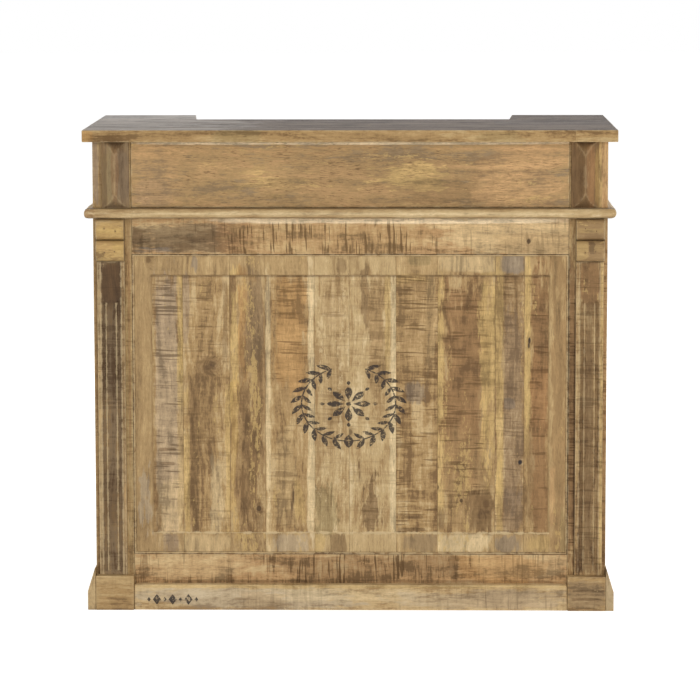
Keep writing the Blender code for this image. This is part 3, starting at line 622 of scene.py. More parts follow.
def wood_material(
    name: str, timber: Timber, grain: Grain, seed: float, marks: Sequence[Mark] = (),
    stencil: Stencil | None = None,
) -> bpy.types.Material:
    """Waxed wood that is solid all through: face, edge and end grain belong together.

    Args:
        name: the material's name.
        timber: the board's look.
        grain: which way the fibres run.
        seed: a number of the board's own, which moves the pattern.
        marks: the knots and stains, as listed.
        stencil: an ornament in ink, if the board has one.

    Returns:
        The material.
    """
    material, graph, shader = new_material(name)
    spot = Value(graph, graph.add("TexCoord").outputs["Object"])
    axes = graph.split(spot)
    across, deep, along = (axes[number] for number in grain.value)
    planed = graph.attribute("planed")
    place = graph.join(across, deep, graph.math("GREATER_THAN", planed, 0.5) * PLANED_JUMP + along)
    amount = planed * (-PLANED_SAW * timber.saw) + timber.saw
    woods = {"Deep": timber.deep.linear(), "Body": timber.body.linear(), "Pale": timber.pale.linear()}
    tones = KIT.place(graph, "Tint", Share=planed * PLANED_STRAW, Tone=Tone.STRAW.linear(), **woods)
    turn: Given = 0.0
    knots = []
    for mark in marks:
        where = {"Vector": spot, "At": mark.at, "Size": mark.size}
        if mark.kind is MarkKind.KNOT:
            around = KIT.place(graph, "Knot", Ragged=0.9 * mark.ragged, **where)
            turn = around["Near"] + turn
            knots.append((mark, around))
            continue
        share = KIT.place(graph, "Patch", Grain=place, Ragged=mark.ragged, **where)["Share"] * mark.strength
        tones = KIT.place(graph, "Tint", Share=share, Tone=mark.tone.linear(), **tones)
        if mark.sawn:
            amount += share * mark.sawn
    amount = amount.most(0.0)

    saw = KIT.place(graph, "Saw", Vector=place, Seed=seed, Amount=amount)
    contrast = planed * (-PLANED_CONTRAST * timber.contrast) + timber.contrast
    wood = KIT.place(
        graph, "Timber", Vector=place, Seed=seed, Turn=turn, Shift=saw["Band"], Streak=1.0 / timber.streak,
        Contrast=contrast, Sawn=amount, Dash=timber.dash, Figure=timber.figure, Flecks=timber.flecks,
        Flare=timber.flare.linear(), **tones,
    )
    darker = graph.vector("MULTIPLY", tones["Deep"], CUT_TONE)
    colour = graph.blend(saw["Cut"] * CUT_SHARE, wood["Color"], darker)
    height = saw["Height"] + wood["Height"]
    for mark, around in knots:
        colour = graph.blend(around["Near"] * HALO_SHARE, colour, Tone.BARK.linear())
        colour = graph.blend(around["Core"] * mark.strength, colour, mark.tone.linear())
        height -= around["Core"] * 0.8
    # Painted shade: darkens where a piece stores it, in creases, recesses, beside parts and under overhangs.
    colour = graph.blend(graph.attribute("grime") * SHADE_SHARE, colour, Tone.DEEP.linear())
    # Pale rubbed arrises, and painted highlights on the pieces that store them.
    worn = KIT.place(graph, "Wear", Vector=spot, Edge=graph.attribute("edge"), Reach=WORN_REACH)["Worn"]
    colour = graph.blend(worn * graph.attribute("rub"), colour, Tone.PALE_STRAW.linear())
    if stencil is not None:
        middle = graph.vector("SUBTRACT", spot, (stencil.at[0], 0.0, stencil.at[1]))
        extra = {} if stencil.reach is None else {"Reach": stencil.reach}
        ink = KIT.place(graph, stencil.group, Vector=middle, **extra)["Ink"]
        patchy = graph.ramp(graph.noise(place, (150.0, 60.0, 150.0), 4.0, 0.75), 0.34, 0.5)
        facing = graph.ramp(axes[1], *INK_FRONT) * INK_SHARE
        colour = graph.blend(ink * patchy * facing, colour, Tone.INK.linear())
    roughness = saw["Cut"] * 0.15 + (timber.roughness - 0.05) + wood["Height"] * 0.12
    shader.inputs["Specular IOR Level"].default_value = timber.gloss
    dress(graph, shader, colour, roughness, height, WOOD_BUMP)
    return material


class MetalKind(Enum):
    """The two metals: base colour, worn colour, roughness and metallic value."""

    IRON = ((0.03, 0.027, 0.025, 1.0), (0.115, 0.1, 0.085, 1.0), 0.46, 0.9)
    STEEL = ((0.105, 0.098, 0.088, 1.0), (0.23, 0.2, 0.16, 1.0), 0.42, 1.0)


def metal_material(kind: MetalKind) -> bpy.types.Material:
    """Blackened metal with brushed-through spots and a fine hammered grain.

    Args:
        kind: iron or steel.

    Returns:
        The material.
    """
    base, rubbed, rough, metallic = kind.value
    material, graph, shader = new_material(f"{kind.name.lower()}_finish")
    spot = Value(graph, graph.add("TexCoord").outputs["Object"])
    cloud = graph.noise(spot, (140.0, 140.0, 140.0), 4.0, 0.65)
    grit = graph.noise(spot, (900.0, 900.0, 900.0), 2.0, 0.6)
    share = graph.ramp(cloud * 0.8 + grit * 0.3, 0.5, 0.66)
    shader.inputs["Metallic"].default_value = metallic
    colour = graph.blend(share, base, rubbed)
    dress(graph, shader, colour, grit * 0.22 + (rough - 0.11), cloud + grit, METAL_BUMP)
    return material


HASH_AXES = np.array([374761393, 668265263, 2147483647])
HASH_SEED = 974634777
HASH_MIX = 1274126177


def value_noise(points: Array, cell: Sequence[float], seed: int) -> Array:
    """Smooth noise from -1 to 1: a hashed value at each lattice corner, eased between the corners.

    Args:
        points: an array of places.
        cell: the lattice's cell along each axis.
        seed: picks another pattern.

    Returns:
        One value for each place.
    """
    spot = points / np.asarray(cell)
    base = np.floor(spot).astype(np.int64)
    ease = spot - base
    ease = ease * ease * (3 - 2 * ease)
    total = np.zeros(len(points))
    for corner in np.ndindex(2, 2, 2):
        mixed = (base + np.array(corner)) @ HASH_AXES + seed * HASH_SEED
        mixed = (mixed ^ (mixed >> 13)) * HASH_MIX
        value = ((mixed ^ (mixed >> 16)) & 0xFFFF) / 32767.5 - 1.0
        total += np.prod(np.where(np.array(corner, bool), ease, 1 - ease), axis=1) * value
    return total


def stations(low: float, high: float, step: float, arris: float, extra: Sequence[float] = ()) -> Array:
    """Grid lines from low to high: close together within the arris, about a step apart between.

    Args:
        low, high: the ends.
        step: the usual distance between lines.
        arris: how far the rounding reaches from each end.
        extra: lines that have to be there.

    Returns:
        The lines in order.
    """
    near = arris * np.array([0.0, 0.15, 0.35, 0.65, 1.0, 1.7])
    near = near[near < (high - low) / 2.2]
    start, end = low + near[-1], high - near[-1]
    count = max(2, int(math.ceil((end - start) / step)) + 1)
    lines = np.concatenate([low + near, high - near, np.linspace(start, end, count)[1:-1], extra])
    return np.unique(np.round(lines, 6))


def shell(lines: Sequence[Array]) -> tuple[Array, Array]:
    """The surface of a box on a lattice, its faces pointing out.

    Args:
        lines: the lattice lines along x, y and z.

    Returns:
        The points, and the four corners of each face.
    """
    counts = [len(line) for line in lines]
    steps = (counts[1] * counts[2], counts[2], 1)
    faces = []
    for axis in range(3):
        first, second = (axis + 1) % 3, (axis + 2) % 3
        i, j = np.meshgrid(np.arange(counts[first] - 1), np.arange(counts[second] - 1), indexing="ij")
        start = i.ravel() * steps[first] + j.ravel() * steps[second]
        turn = np.array([0, steps[first], steps[first] + steps[second], steps[second]])
        faces.append(start[:, None] + turn[::-1])
        faces.append(start[:, None] + turn + (counts[axis] - 1) * steps[axis])
    keys, index = np.unique(np.concatenate(faces), return_inverse=True)
    points = np.stack([lines[a][keys // steps[a] % counts[a]] for a in range(3)], axis=1)
    return points, index.reshape(-1, 4)


def soften(points: Array, low: Array, high: Array, radius: Array, square: str = "") -> Array:
    """Rounds a box: each point's offset from the inner box a radius within is drawn in to a circle's reach.

    Args:
        points: places on the box's surface.
        low, high: the box's corners.
        radius: the rounding at each point.
        square: sides such as +y that keep their arrises square.

    Returns:
        The rounded places.
    """
    inner_low = low + radius[:, None]
    inner_high = high - radius[:, None]
    for axis, letter in enumerate("xyz"):
        if f"-{letter}" in square:
            inner_low[:, axis] = low[axis]
        if f"+{letter}" in square:
            inner_high[:, axis] = high[axis]
    core = np.minimum(np.maximum(points, inner_low), np.maximum(inner_high, inner_low))
    off = points - core
    length = np.linalg.norm(off, axis=1)
    share = np.where(length > 0, np.abs(off).max(axis=1) / np.maximum(length, 1e-12), 1.0)
    return core + off * share[:, None]


def edge_distance(points: Array, low: Array, high: Array, square: str = "") -> Array:
    """How far each place on a box's surface is from its nearest arris: the middle one of three distances.

    Args:
        points: the places.
        low, high: the box's corners.
        square: sides such as +y that lie against another board, whose arrises don't count.

    Returns:
        One distance for each place.
    """
    near = np.where([f"-{letter}" in square for letter in "xyz"], 1.0, np.abs(points - low))
    far = np.where([f"+{letter}" in square for letter in "xyz"], 1.0, np.abs(high - points))
    return np.sort(np.minimum(near, far), axis=1)[:, 1]


def fade(distance: Array, reach: float) -> Array:
    """1 at no distance, falling to 0 at the reach."""
    return np.clip(1 - distance / reach, 0.0, 1.0)


def frontness(at: Array, low: Array, high: Array) -> Array:
    """1 on a box's front face, falling to 0 on its back."""
    return np.clip((high[1] - at[:, 1]) / (high[1] - low[1]), 0.0, 1.0)


def pushed(at: Array, axis: int, by: Array) -> Array:
    """Moves places along an axis.

    Args:
        at: the places.
        axis: 0, 1 or 2.
        by: how far each one goes.

    Returns:
        The new places.
    """
    moved = at.copy()
    moved[:, axis] += by
    return moved


def cuts(low: float, high: float, shares: Sequence[float]) -> Array:
    """Where the joints lie when a width is cut into shares, with both ends."""
    return low + np.concatenate([[0.0], np.cumsum(shares)]) / sum(shares) * (high - low)


def outline(corners: Sequence[Sequence[float]], steps: int) -> Array:
    """Points along a closed outline.

    Args:
        corners: the outline's, in order.
        steps: how many points each side has.

    Returns:
        The points, evenly apart on each side.
    """
    share = np.linspace(0.0, 1.0, steps, endpoint=False)[:, None]
    places = np.array(corners, float)
    return np.concatenate([a + (b - a) * share for a, b in zip(places, np.roll(places, -1, axis=0))])


def ring_quads(rings: int, count: int) -> Array:
    """Joins closed rings, one to the next.

    Args:
        rings, count: how many rings, and how many points on each.

    Returns:
        The quads' corners.
    """
    ring = np.arange(rings - 1)[:, None] * count
    here, there = np.arange(count)[None], np.roll(np.arange(count), -1)[None]
    corners = [ring + here, ring + there, ring + count + there, ring + count + here]
    return np.stack(corners, axis=2).reshape(-1, 4)


def tube_quads(rings: int, count: int) -> Array:
    """Joins closed rings to a tube, each end capped by quads between a ring's halves.

    Args:
        rings, count: how many rings, and how many points on each.

    Returns:
        The quads' corners.
    """
    pair = np.arange(count // 2 - 1)
    cap = np.stack([pair, pair + 1, count - 2 - pair, count - 1 - pair], axis=1)
    return np.concatenate([ring_quads(rings, count), cap[:, ::-1], cap + (rings - 1) * count])


def sweep(profile: Array, along: Array, draw_in: Array) -> tuple[Array, Array]:
    """A closed profile carried along an axis and drawn in towards itself near its ends, then capped.

    At each station the profile's points move along their inward normals by draw_in there. The caps are
    rings that shrink to the profile's middle.

    Args:
        profile: its points, in order round it.
        along: the stations.
        draw_in: how far the profile shrinks at each station.

    Returns:
        Points as (first, second, along), and quads.
    """
    before, after = np.roll(profile, 1, axis=0), np.roll(profile, -1, axis=0)
    tangent = after - before
    normal = np.stack([-tangent[:, 1], tangent[:, 0]], axis=1)
    normal /= np.maximum(np.linalg.norm(normal, axis=1, keepdims=True), 1e-9)
    area = np.sum(profile[:, 0] * after[:, 1] - after[:, 0] * profile[:, 1])
    normal *= 1 if area > 0 else -1
    rings = profile[None] + normal[None] * draw_in[:, None, None]
    middle = profile.mean(axis=0)
    shrink = np.array([0.02, 0.5])[:, None, None]
    start, end = middle + (rings[:1] - middle) * shrink, middle + (rings[-1:] - middle) * shrink[::-1]
    rings = np.concatenate([start, rings, end])
    places = np.concatenate([[along[0]] * 2, along, [along[-1]] * 2])
    count = len(profile)
    points = np.concatenate([rings, np.broadcast_to(places[:, None, None], (len(places), count, 1))], axis=2)
    quads = tube_quads(len(places), count)
    return points.reshape(-1, 3), quads if area > 0 else quads[:, ::-1]


def eased_ends(low: float, high: float, step: float, radius: float) -> tuple[Array, Array]:
    """Stations for a sweep with a round arris at each end.

    Args:
        low, high: the ends.
        step: the usual distance between stations.
        radius: the arris's.

    Returns:
        The stations, and how far the profile is drawn in at each.
    """
    along = stations(low, high, step, radius)
    near = fade(np.minimum(along - low, high - along), radius)
    return along, radius * (1 - np.sqrt(1 - near * near))


def turned(profile: Array, sides: int) -> tuple[Array, Array]:
    """A profile of (radius, distance) spun round the distance axis, its ends closed by tiny rings.

    Args:
        profile: from the foot to the tip.
        sides: steps round.

    Returns:
        Points as (x, along, z), and quads.
    """
    turns = np.linspace(0.0, 2 * math.pi, sides, endpoint=False)
    radius, along = profile[:, :1], profile[:, 1:]
    x, z = radius * np.cos(turns), radius * np.sin(turns)
    points = np.stack([x, np.broadcast_to(along, x.shape), z], axis=2).reshape(-1, 3)
    return points, tube_quads(len(profile), sides)


def add_piece(
    name: str, points: Array, faces: Array, material: bpy.types.Material, body: str, nodes: Sequence[str],
    stored: dict[str, Array] | None = None,
) -> None:
    """Makes a mesh object from arrays, and joins it to the frame.

    Args:
        name: the piece's name.
        points, faces: the mesh, each face with as many corners as the array is wide.
        material: what it is dressed in.
        body: the body it rides on.
        nodes: the frame's nodes that it stands for.
        stored: numbers kept at each point, by name.
    """
    mesh = bpy.data.meshes.new(name)
    mesh.vertices.add(len(points))
    mesh.vertices.foreach_set("co", np.ascontiguousarray(points, np.float32).ravel())
    mesh.loops.add(faces.size)
    mesh.loops.foreach_set("vertex_index", faces.astype(np.int32).ravel())
    mesh.polygons.add(len(faces))
    mesh.polygons.foreach_set("loop_start", np.arange(len(faces), dtype=np.int32) * faces.shape[1])
    mesh.update(calc_edges=True)
    mesh.validate()
    for label, values in (stored or {}).items():
        attribute = mesh.attributes.new(label, "FLOAT", "POINT")
        attribute.data.foreach_set("value", np.ascontiguousarray(values, np.float32))
    mesh.shade_smooth()
    mesh.materials.append(material)
    piece = bpy.data.objects.new(name, mesh)
    bpy.context.scene.collection.objects.link(piece)
    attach(piece, body)
    if nodes:
        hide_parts(*nodes)
    log.info("%s: %d faces on %s", name, len(faces), body)


SEEDS = iter(np.random.default_rng(1872).uniform(1.0, 90.0, 400).round(2).tolist())


def add_shaped(
    node: str, kind: str, points: Array, faces: Array, timber: Timber, grain: Grain,
    stored: dict[str, Array], marks: Sequence[Mark] = (),
) -> None:
    """Makes a wooden piece that isn't a board, in a node's place.

    Args:
        node: the node that it stands for.
        kind: a word for it, which ends its name.
        points, faces: the mesh.
        timber, grain: its wood, and which way the fibres run.
        stored: numbers kept at each point, by name.
        marks: knots and stains.
    """
    material = wood_material(f"{node}_wood", timber, grain, next(SEEDS), marks)
    add_piece(f"{node}_{kind}", points, faces, material, BODY, [node], stored)


@dataclass
class Board:
    """One board with worn arrises, as a lattice shell that is rounded, dented and cut in relief.

    Args:
        name: the piece's name.
        x, y, z: where it starts and ends along each axis.
        timber: its wood.
        grain: which way its fibres run.
        node: the frame's node that it stands for.
        slot: the record's slot; it is not used.
        body: the body it rides on.
        arris: the usual rounding.
        step: the lattice's usual step along x, y and z.
        square: sides whose arrises stay square.
        relief: gives each place its new one, after the rounding.
        lines: lattice lines that the relief needs, by axis.
        rub: how pale the arrises are rubbed.
        marks: knots and stains.
        stencil: an ornament in ink.
        stored: further numbers kept at each point, worked out from its place.
    """

    name: str
    x: Span
    y: Span
    z: Span
    timber: Timber
    grain: Grain
    node: str
    slot: str
    body: str = BODY
    arris: float = 0.0014
    step: Triple = (0.02, 0.02, 0.02)
    square: str = ""
    relief: Relief | None = None
    lines: dict[int, Sequence[float]] = field(default_factory=dict)
    rub: float = 0.35
    marks: Sequence[Mark] = ()
    stencil: Stencil | None = None
    stored: dict[str, Relief] = field(default_factory=dict)

    def build(self) -> None:
        """Makes the board."""
        low, high = np.array([self.x, self.y, self.z], float).T
        seed = next(SEEDS)
        reach = self.arris * 1.6
        lines = [stations(low[a], high[a], self.step[a], reach, self.lines.get(a, ())) for a in range(3)]
        flat, faces = shell(lines)
        dents = value_noise(flat, (0.031, 0.031, 0.031), int(seed * 7))
        nicks = value_noise(flat, (0.009, 0.009, 0.009), int(seed * 11))
        radius = self.arris * (1.0 + 0.35 * dents + 0.25 * np.maximum(nicks, 0.0))
        points = soften(flat, low, high, radius, self.square)
        if self.relief is not None:
            points = self.relief(points)
        stored = {"edge": edge_distance(flat, low, high, self.square), "rub": np.full(len(flat), self.rub)}
        stored |= {label: made(flat) for label, made in self.stored.items()}
        material = wood_material(f"{self.name}_wood", self.timber, self.grain, seed, self.marks, self.stencil)
        add_piece(self.name, points, faces, material, self.body, [self.node], stored)


def node_box(node: str) -> tuple[Array, Array]:
    """A node's low and high corners as arrays."""
    low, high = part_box(node)
    return np.array(low), np.array(high)


def node_spans(node: str) -> tuple[Span, Span, Span]:
    """Where a node starts and ends along x, y and z."""
    return tuple(zip(*node_box(node)))


def node_board(node: str, timber: Timber, grain: Grain, slot: str, **settings: object) -> None:
    """Makes a board that takes a node's whole box and stands for it."""
    Board(f"{node}_board", *node_spans(node), timber, grain, node, slot, **settings).build()


# Each plank's wood and marks, from the left: sapwood, with sawn heartwood laid on it as patches.
PLANKS: tuple[tuple[Timber, list[Mark]], ...] = (
    (Timber(T.BARK, T.TAN, T.STRAW, T.GOLD, 0.1, 0.3, 0.45, roughness=0.68), stains(
        (T.ASH, -443, -392, 178, 770, 0.8, 0.55), (T.GOLD, -391, -379, 500, 768, 0.75, 0.0, 1.6),
        (T.STRAW, -391, -379, 178, 500, 0.6, 0.0, 1.6), (T.CREAM, -446, -384, 176, 290, 0.5, -0.4),
        (T.MAUVE, -443, -392, 620, 770, 0.35), (T.TAN, -488, -452, 180, 800, 0.22),
        (T.FOG, -484, -456, 222, 340, 0.4, 0.0, 2.4), (T.UMBER, -436, -398, 361, 369, 0.6, 0.0, 0.4),
        (T.UMBER, -434, -400, 328, 336, 0.5, 0.0, 0.4), (T.MAUVE, -420, -394, 128, 172, 0.65),
    ) + [
        knot(T.UMBER, -455, 799, 6.0, 0.6, 9.0, 2.2), knot(T.UMBER, -449, 806, 5.0, 0.45, 4.0, 2.2),
    ]),
    (Timber(T.BARK, T.HONEY, T.CREAM, T.GOLD, 0.3, 0.8, 0.35, 1.2), stains(
        (T.MAUVE, -379, -366, 600, 768, 0.6), (T.GOLD, -380, -366, 178, 430, 0.6, 0.0, 1.5),
        (T.BARK, -364, -345, 176, 500, 0.65), (T.TAN, -342, -309, 570, 768, 0.55, 0.6),
        (T.UMBER, -290, -277, 560, 768, 0.4), (T.GOLD, -285, -273, 180, 470, 0.55, 0.0, 1.5),
        (T.PALE_STRAW, -322, -288, 176, 360, 0.5), (T.BARK, -372, -300, 320, 560, 0.3),
        (T.SLATE, -359, -344, 776, 812, 0.6, 0.0, 1.8), (T.CREAM, -378, -276, 128, 170, 0.65),
        (T.BARK, -345, -296, 530, 578, 0.5, 0.0, 1.2),
    ) + [
        knot(T.DEEP, -320.5, 554, 13.5, 0.55, 8.0, 2.2), knot(T.DEEP, -313, 562, 7.5, 0.5, 7.5, 2.0),
    ]),
    (Timber(T.BARK, T.TAN, T.STRAW, T.GOLD, 0.45, 0.6, 0.2, 1.1), stains(
        (T.GOLD, -273, -252, 520, 768, 0.6, 0.0, 1.7), (T.AMBER, -256, -229, 540, 768, 0.6),
        (T.GREY_BROWN, -236, -198, 560, 768, 0.75), (T.OCHRE, -272, -254, 178, 500, 0.4, 0.0, 1.7),
        (T.BARK, -251, -197, 190, 460, 0.85, 0.0, 1.5), (T.BARK, -251, -197, 460, 768, 0.4),
        (T.UMBER, -215, -198, 170, 260, 0.4),
    ) + [knot(T.DEEP, -209, 229, 5.5, 0.8)]),
    (Timber(T.BARK, T.HONEY, T.CREAM, T.GOLD, 0.2, 0.3, 0.25, 1.2), stains(
        (T.PALE_STRAW, -193, -180, 176, 812, 0.65), (T.TAN, -177, -97, 420, 768, 0.65, 0.65),
        (T.AMBER, -176, -100, 500, 745, 0.5, 0.15), (T.STRAW, -177, -125, 176, 440, 0.45, 0.55),
        (T.PALE_STRAW, -96, -80, 170, 812, 0.75), (T.GOLD, -128, -109, 216, 288, 0.5, 0.0, 2.0),
        (T.BARK, -147, -134, 180, 228, 0.5, 0.0, 1.8), (T.FOG, -170, -92, 128, 170, 0.4),
    ) + [
        knot(T.DEEP, -130.5, 258, 2.2, 0.8, 18.0, 0.7),
        knot(T.DEEP, -133.5, 233, 1.8, 0.75, 15.0, 0.7),
    ]),
    (Timber(T.TAN, T.STRAW, T.PALE_STRAW, T.PALE_STRAW, 0.3, 0.3, 0.25), stains(
        (T.TAN, -62, -12, 630, 768, 0.45, 0.45), (T.TAN, -58, -8, 360, 620, 0.45, 0.35),
        (T.OLIVE, -84, -36, 168, 262, 0.65, 0.0, 2.2), (T.BARK, -27, -9, 772, 800, 0.5, 0.0, 2.4),
        (T.GOLD, -90, -57, 128, 170, 0.5), (T.BARK, -46, -10, 128, 172, 0.65),
    )),
    (Timber(T.TAN, T.STRAW, T.PALE_STRAW, T.PALE_STRAW, 0.15, 0.5, 0.25, 1.2), stains(
        (T.BARK, 27, 46, 610, 770, 0.65, 0.0, 1.6), (T.TAN, 38, 80, 480, 768, 0.8, 0.4),
        (T.GOLD, 78, 92, 560, 765, 0.55), (T.PALE_STRAW, 91, 105, 176, 768, 0.85),
        (T.BARK, 28, 62, 176, 292, 0.75, 0.45, 2.0),
    ) + [
        knot(T.UMBER, 19.5, 330, 2.2, 0.7, 12.0, 0.8), knot(T.UMBER, 21, 306, 1.6, 0.6, 12.0, 0.8),
        knot(T.DEEP, -1, 405, 6.0, 0.6),
    ]),
    (Timber(T.BARK, T.HONEY, T.CREAM, T.STRAW, 0.1, 0.25, 0.75, roughness=0.66), stains(
        (T.GOLD, 108, 178, 744, 768, 0.5), (T.UMBER, 136, 174, 733, 754, 0.6),
        (T.STRAW, 172, 192, 560, 768, 0.6, -0.4), (T.SLATE, 125, 172, 468, 522, 0.55),
        (T.TAN, 112, 190, 540, 768, 0.6, 0.15), (T.UMBER, 120, 166, 206, 213, 0.5, 0.0, 1.2),
        (T.UMBER, 117, 172, 176, 185, 0.65, 0.0, 1.0), (T.OLIVE, 132, 180, 788, 812, 0.55),
        (T.GREY_BROWN, 118, 192, 128, 172, 0.65),
    )),
    (Timber(T.BARK, T.HONEY, T.STRAW, T.GOLD, 0.35, 1.0, 0.25, 1.5), stains(
        (T.GOLD, 195, 214, 176, 768, 0.6, 0.0, 1.4), (T.RUST, 214, 300, 300, 768, 0.75, 0.45),
        (T.BARK, 212, 325, 176, 768, 0.5, 0.2), (T.GOLD, 296, 330, 330, 768, 0.6, 0.0, 1.8),
        (T.TAN, 216, 300, 176, 400, 0.5, 0.3), (T.UMBER, 262, 328, 172, 268, 0.6, 0.3),
        (T.UMBER, 198, 215, 176, 230, 0.55), (T.CREAM, 197, 342, 772, 812, 0.8, 0.0, 0.6),
        (T.PALE_STRAW, 194, 322, 128, 170, 0.7),
    ) + [
        knot(T.DEEP, 252.5, 248, 4.0, 0.85), knot(T.UMBER, 309, 240, 8.0, 0.7),
        knot(T.DEEP, 197.5, 278, 4.5, 0.75),
    ]),
    (Timber(T.BARK, T.TAN, T.CREAM, T.GOLD, 0.1, 0.3, 0.5), stains(
        (T.GOLD, 330, 347, 176, 768, 0.55, -0.3, 1.3), (T.GOLD, 331, 344, 262, 350, 0.8, -0.3, 1.3),
        (T.BARK, 347, 392, 688, 768, 0.55, 0.2), (T.SLATE, 349, 372, 460, 484, 0.6),
        (T.MAUVE, 349, 392, 262, 690, 0.45, 0.1), (T.MAUVE, 348, 392, 176, 260, 0.45),
        (T.SLATE, 342, 392, 772, 812, 0.7, 0.0, 0.6), (T.SLATE, 324, 389, 128, 170, 0.55, 0.0, 1.4),
    ) + [knot(T.INK, 385.5, 336, 4.8, 0.95)]),
    (Timber(T.BARK, T.HONEY, T.STRAW, T.GOLD, 0.15, 0.45, 0.15, roughness=0.66), stains(
        (T.GOLD, 395, 409, 380, 812, 0.7, 0.0, 1.3), (T.RUST, 410, 448, 174, 768, 0.85, 0.6),
        (T.BARK, 396, 450, 174, 420, 0.58), (T.TAN, 451, 492, 130, 812, 0.85),
        (T.BARK, 451, 492, 130, 812, 0.25), (T.PEACH, 451, 466, 178, 340, 0.6),
        (T.OLIVE, 478, 492, 130, 240, 0.5), (T.GOLD, 396, 450, 128, 170, 0.45),
        (T.BARK, 409, 450, 560, 768, 0.52, 0.2),
    ) + [knot(T.INK, 405.2, 615, 3.0, 0.95, 8.5, 0.6), knot(T.INK, 404.2, 604, 2.2, 0.85, 6.5, 0.6)]),
)


@dataclass
class FrontPanel:
    """Ten planks glued edge to edge, a rough field sunk between planed borders, and the bead round it."""

    shares: tuple[float, ...] = (0.113, 0.106, 0.08, 0.112, 0.078, 0.106, 0.094, 0.13, 0.065, 0.099)
    joint: float = 0.00012
    border_side: float = 0.042
    border_end: float = 0.046
    sink: float = 0.005
    bevel: float = 0.004
    step: float = 0.0035
    lift: float = 0.00035
    ripple: float = 0.00016
    swell: float = 0.00025
    # How strong the painted highlight on the field's lower rim is, then how far the painted shade at the
    # other rims reaches and how strong it is above and beside.
    shine: float = 0.9
    shade_reach: float = 0.003
    shade_above: float = 0.75
    dirt_beside: float = 0.15
    clear: float = 0.004
    bead: float = 0.0045
    bead_highlight: float = 0.0028
    wreath: Stencil = Stencil("Wreath", (-0.004, 0.47))
    bead_wood: Timber = Timber(T.UMBER, T.TAN, T.STRAW, T.STRAW, 0.1, 0.1, 0.1)

    def build(self) -> None:
        """Makes the planks and the bead."""
        low, high = node_box("front_panel")
        border = np.array([self.border_side, self.border_end])
        field_low, field_high = low[::2] + border, high[::2] - border
        middle, half = (field_low[0] + field_high[0]) / 2, (field_high[0] - field_low[0]) / 2

        def depth(at: Array) -> Array:
            """How deep inside the field a place is, as a share of the sink: a straight ramp at its rim."""
            flat = at[:, ::2]
            return np.clip(np.minimum(flat - field_low, field_high - flat).min(axis=1) / self.bevel, 0.0, 1.0)

        def over(at: Array) -> Array:
            """1 where a place is over the field's width, 0 beside it."""
            return (np.abs(at[:, 0] - middle) < half) * 1.0

        def crease(at: Array) -> Array:
            """Painted shade under the field's upper rim and beside its side rims.

            Args:
                at: the places.

            Returns:
                How dark each is.
            """
            top = fade(np.abs(at[:, 2] - field_high[1] + self.bevel), self.shade_reach) * over(at)
            side = fade(np.abs(np.abs(at[:, 0] - middle) - half), self.shade_reach)
            side = side * (at[:, 2] > field_low[1]) * (at[:, 2] < field_high[1])
            return np.maximum(self.shade_above * top, self.dirt_beside * side)

        # These stored values put a painted highlight, a pale line, on the field's lower rim where its step
        # faces up to the light, and not on the arrises.
        stored = {
            "planed": lambda at: 1.0 - depth(at),
            "edge": lambda at: np.abs(at[:, 2] - field_low[1] - self.bevel / 2) * 1.1,
            "rub": lambda at: self.shine * over(at),
            "grime": crease,
        }
        across = (field_low[0], field_low[0] + self.bevel, field_high[0] - self.bevel, field_high[0])
        levels = [field_low[1] + self.bevel * share for share in (0.0, 0.5, 1.0)]
        levels += [field_high[1] - self.bevel, field_high[1]]
        joints = cuts(low[0], high[0], self.shares)
        for number, (timber, marks) in enumerate(PLANKS, start=1):
            start, end = joints[number - 1] + self.joint, joints[number] - self.joint
            sunk = self.sink + self.lift * math.sin(number * 2.4)

            def relief(at: Array, sunk: float = sunk, number: int = number) -> Array:
                """Sinks the field and roughens it, most at the front and not at all at the back.

                Args:
                    at: the places.
                    sunk: how deep this plank's field lies.
                    number: the plank's number, which picks the noise.

                Returns:
                    The new places.
                """
                rough = value_noise(at, (0.03, 1.0, 0.0045), number) * self.ripple
                rough += value_noise(at, (0.05, 1.0, 0.07), number + 40) * self.swell
                return pushed(at, 1, depth(at) * (sunk + rough) * frontness(at, low, high))

            rims = {0: [x for x in across if start + self.clear < x < end - self.clear], 2: levels}
            Board(
                f"front_plank_{number:02d}", (start, end), *node_spans("front_panel")[1:], timber,
                Grain.ALONG_Z, "front_panel", "panel_wood", arris=0.0007, step=(self.step, 0.02, self.step),
                relief=relief, lines=rims, marks=marks, stencil=self.wreath if 4 <= number <= 7 else None,
                stored=stored,
            ).build()
        self.build_bead(low, high)

    def build_bead(self, low: Array, high: Array) -> None:
        """The bead: a quarter-round section carried round the panel's rim, mitred at the corners.

        Args:
            low, high: the panel's corners.
        """
        bead_low, bead_high = node_box("panel_bead")
        tall = bead_high[1] - bead_low[1]
        turns = np.linspace(0.0, math.pi / 2, 10)
        section = np.stack([self.bead * np.sin(turns), tall * np.cos(turns)], axis=1)
        section = np.concatenate([[[0.0, 0.0]], section])
        way = outline([(-1, -1), (1, -1), (1, 1), (-1, 1)], 160)
        reach = (high - low)[::2] / 2 - section[None, :, :1]
        place = (high + low)[::2] / 2 + way[:, None, :] * reach
        deep = bead_high[1] - section[None, :, 1] + np.zeros((len(way), 1))
        points = np.stack([place[..., 0], deep, place[..., 1]], axis=2)
        wear = value_noise(points.reshape(-1, 3), (0.022, 1.0, 0.022), 5).reshape(deep.shape)
        points[..., 1] += 0.0003 * np.maximum(wear, 0.0) * (section[None, :, 1] > tall * 0.5)
        faces = ring_quads(len(way) + 1, len(section)) % (len(way) * len(section))
        inward = np.tile(section[:, 0], len(way))
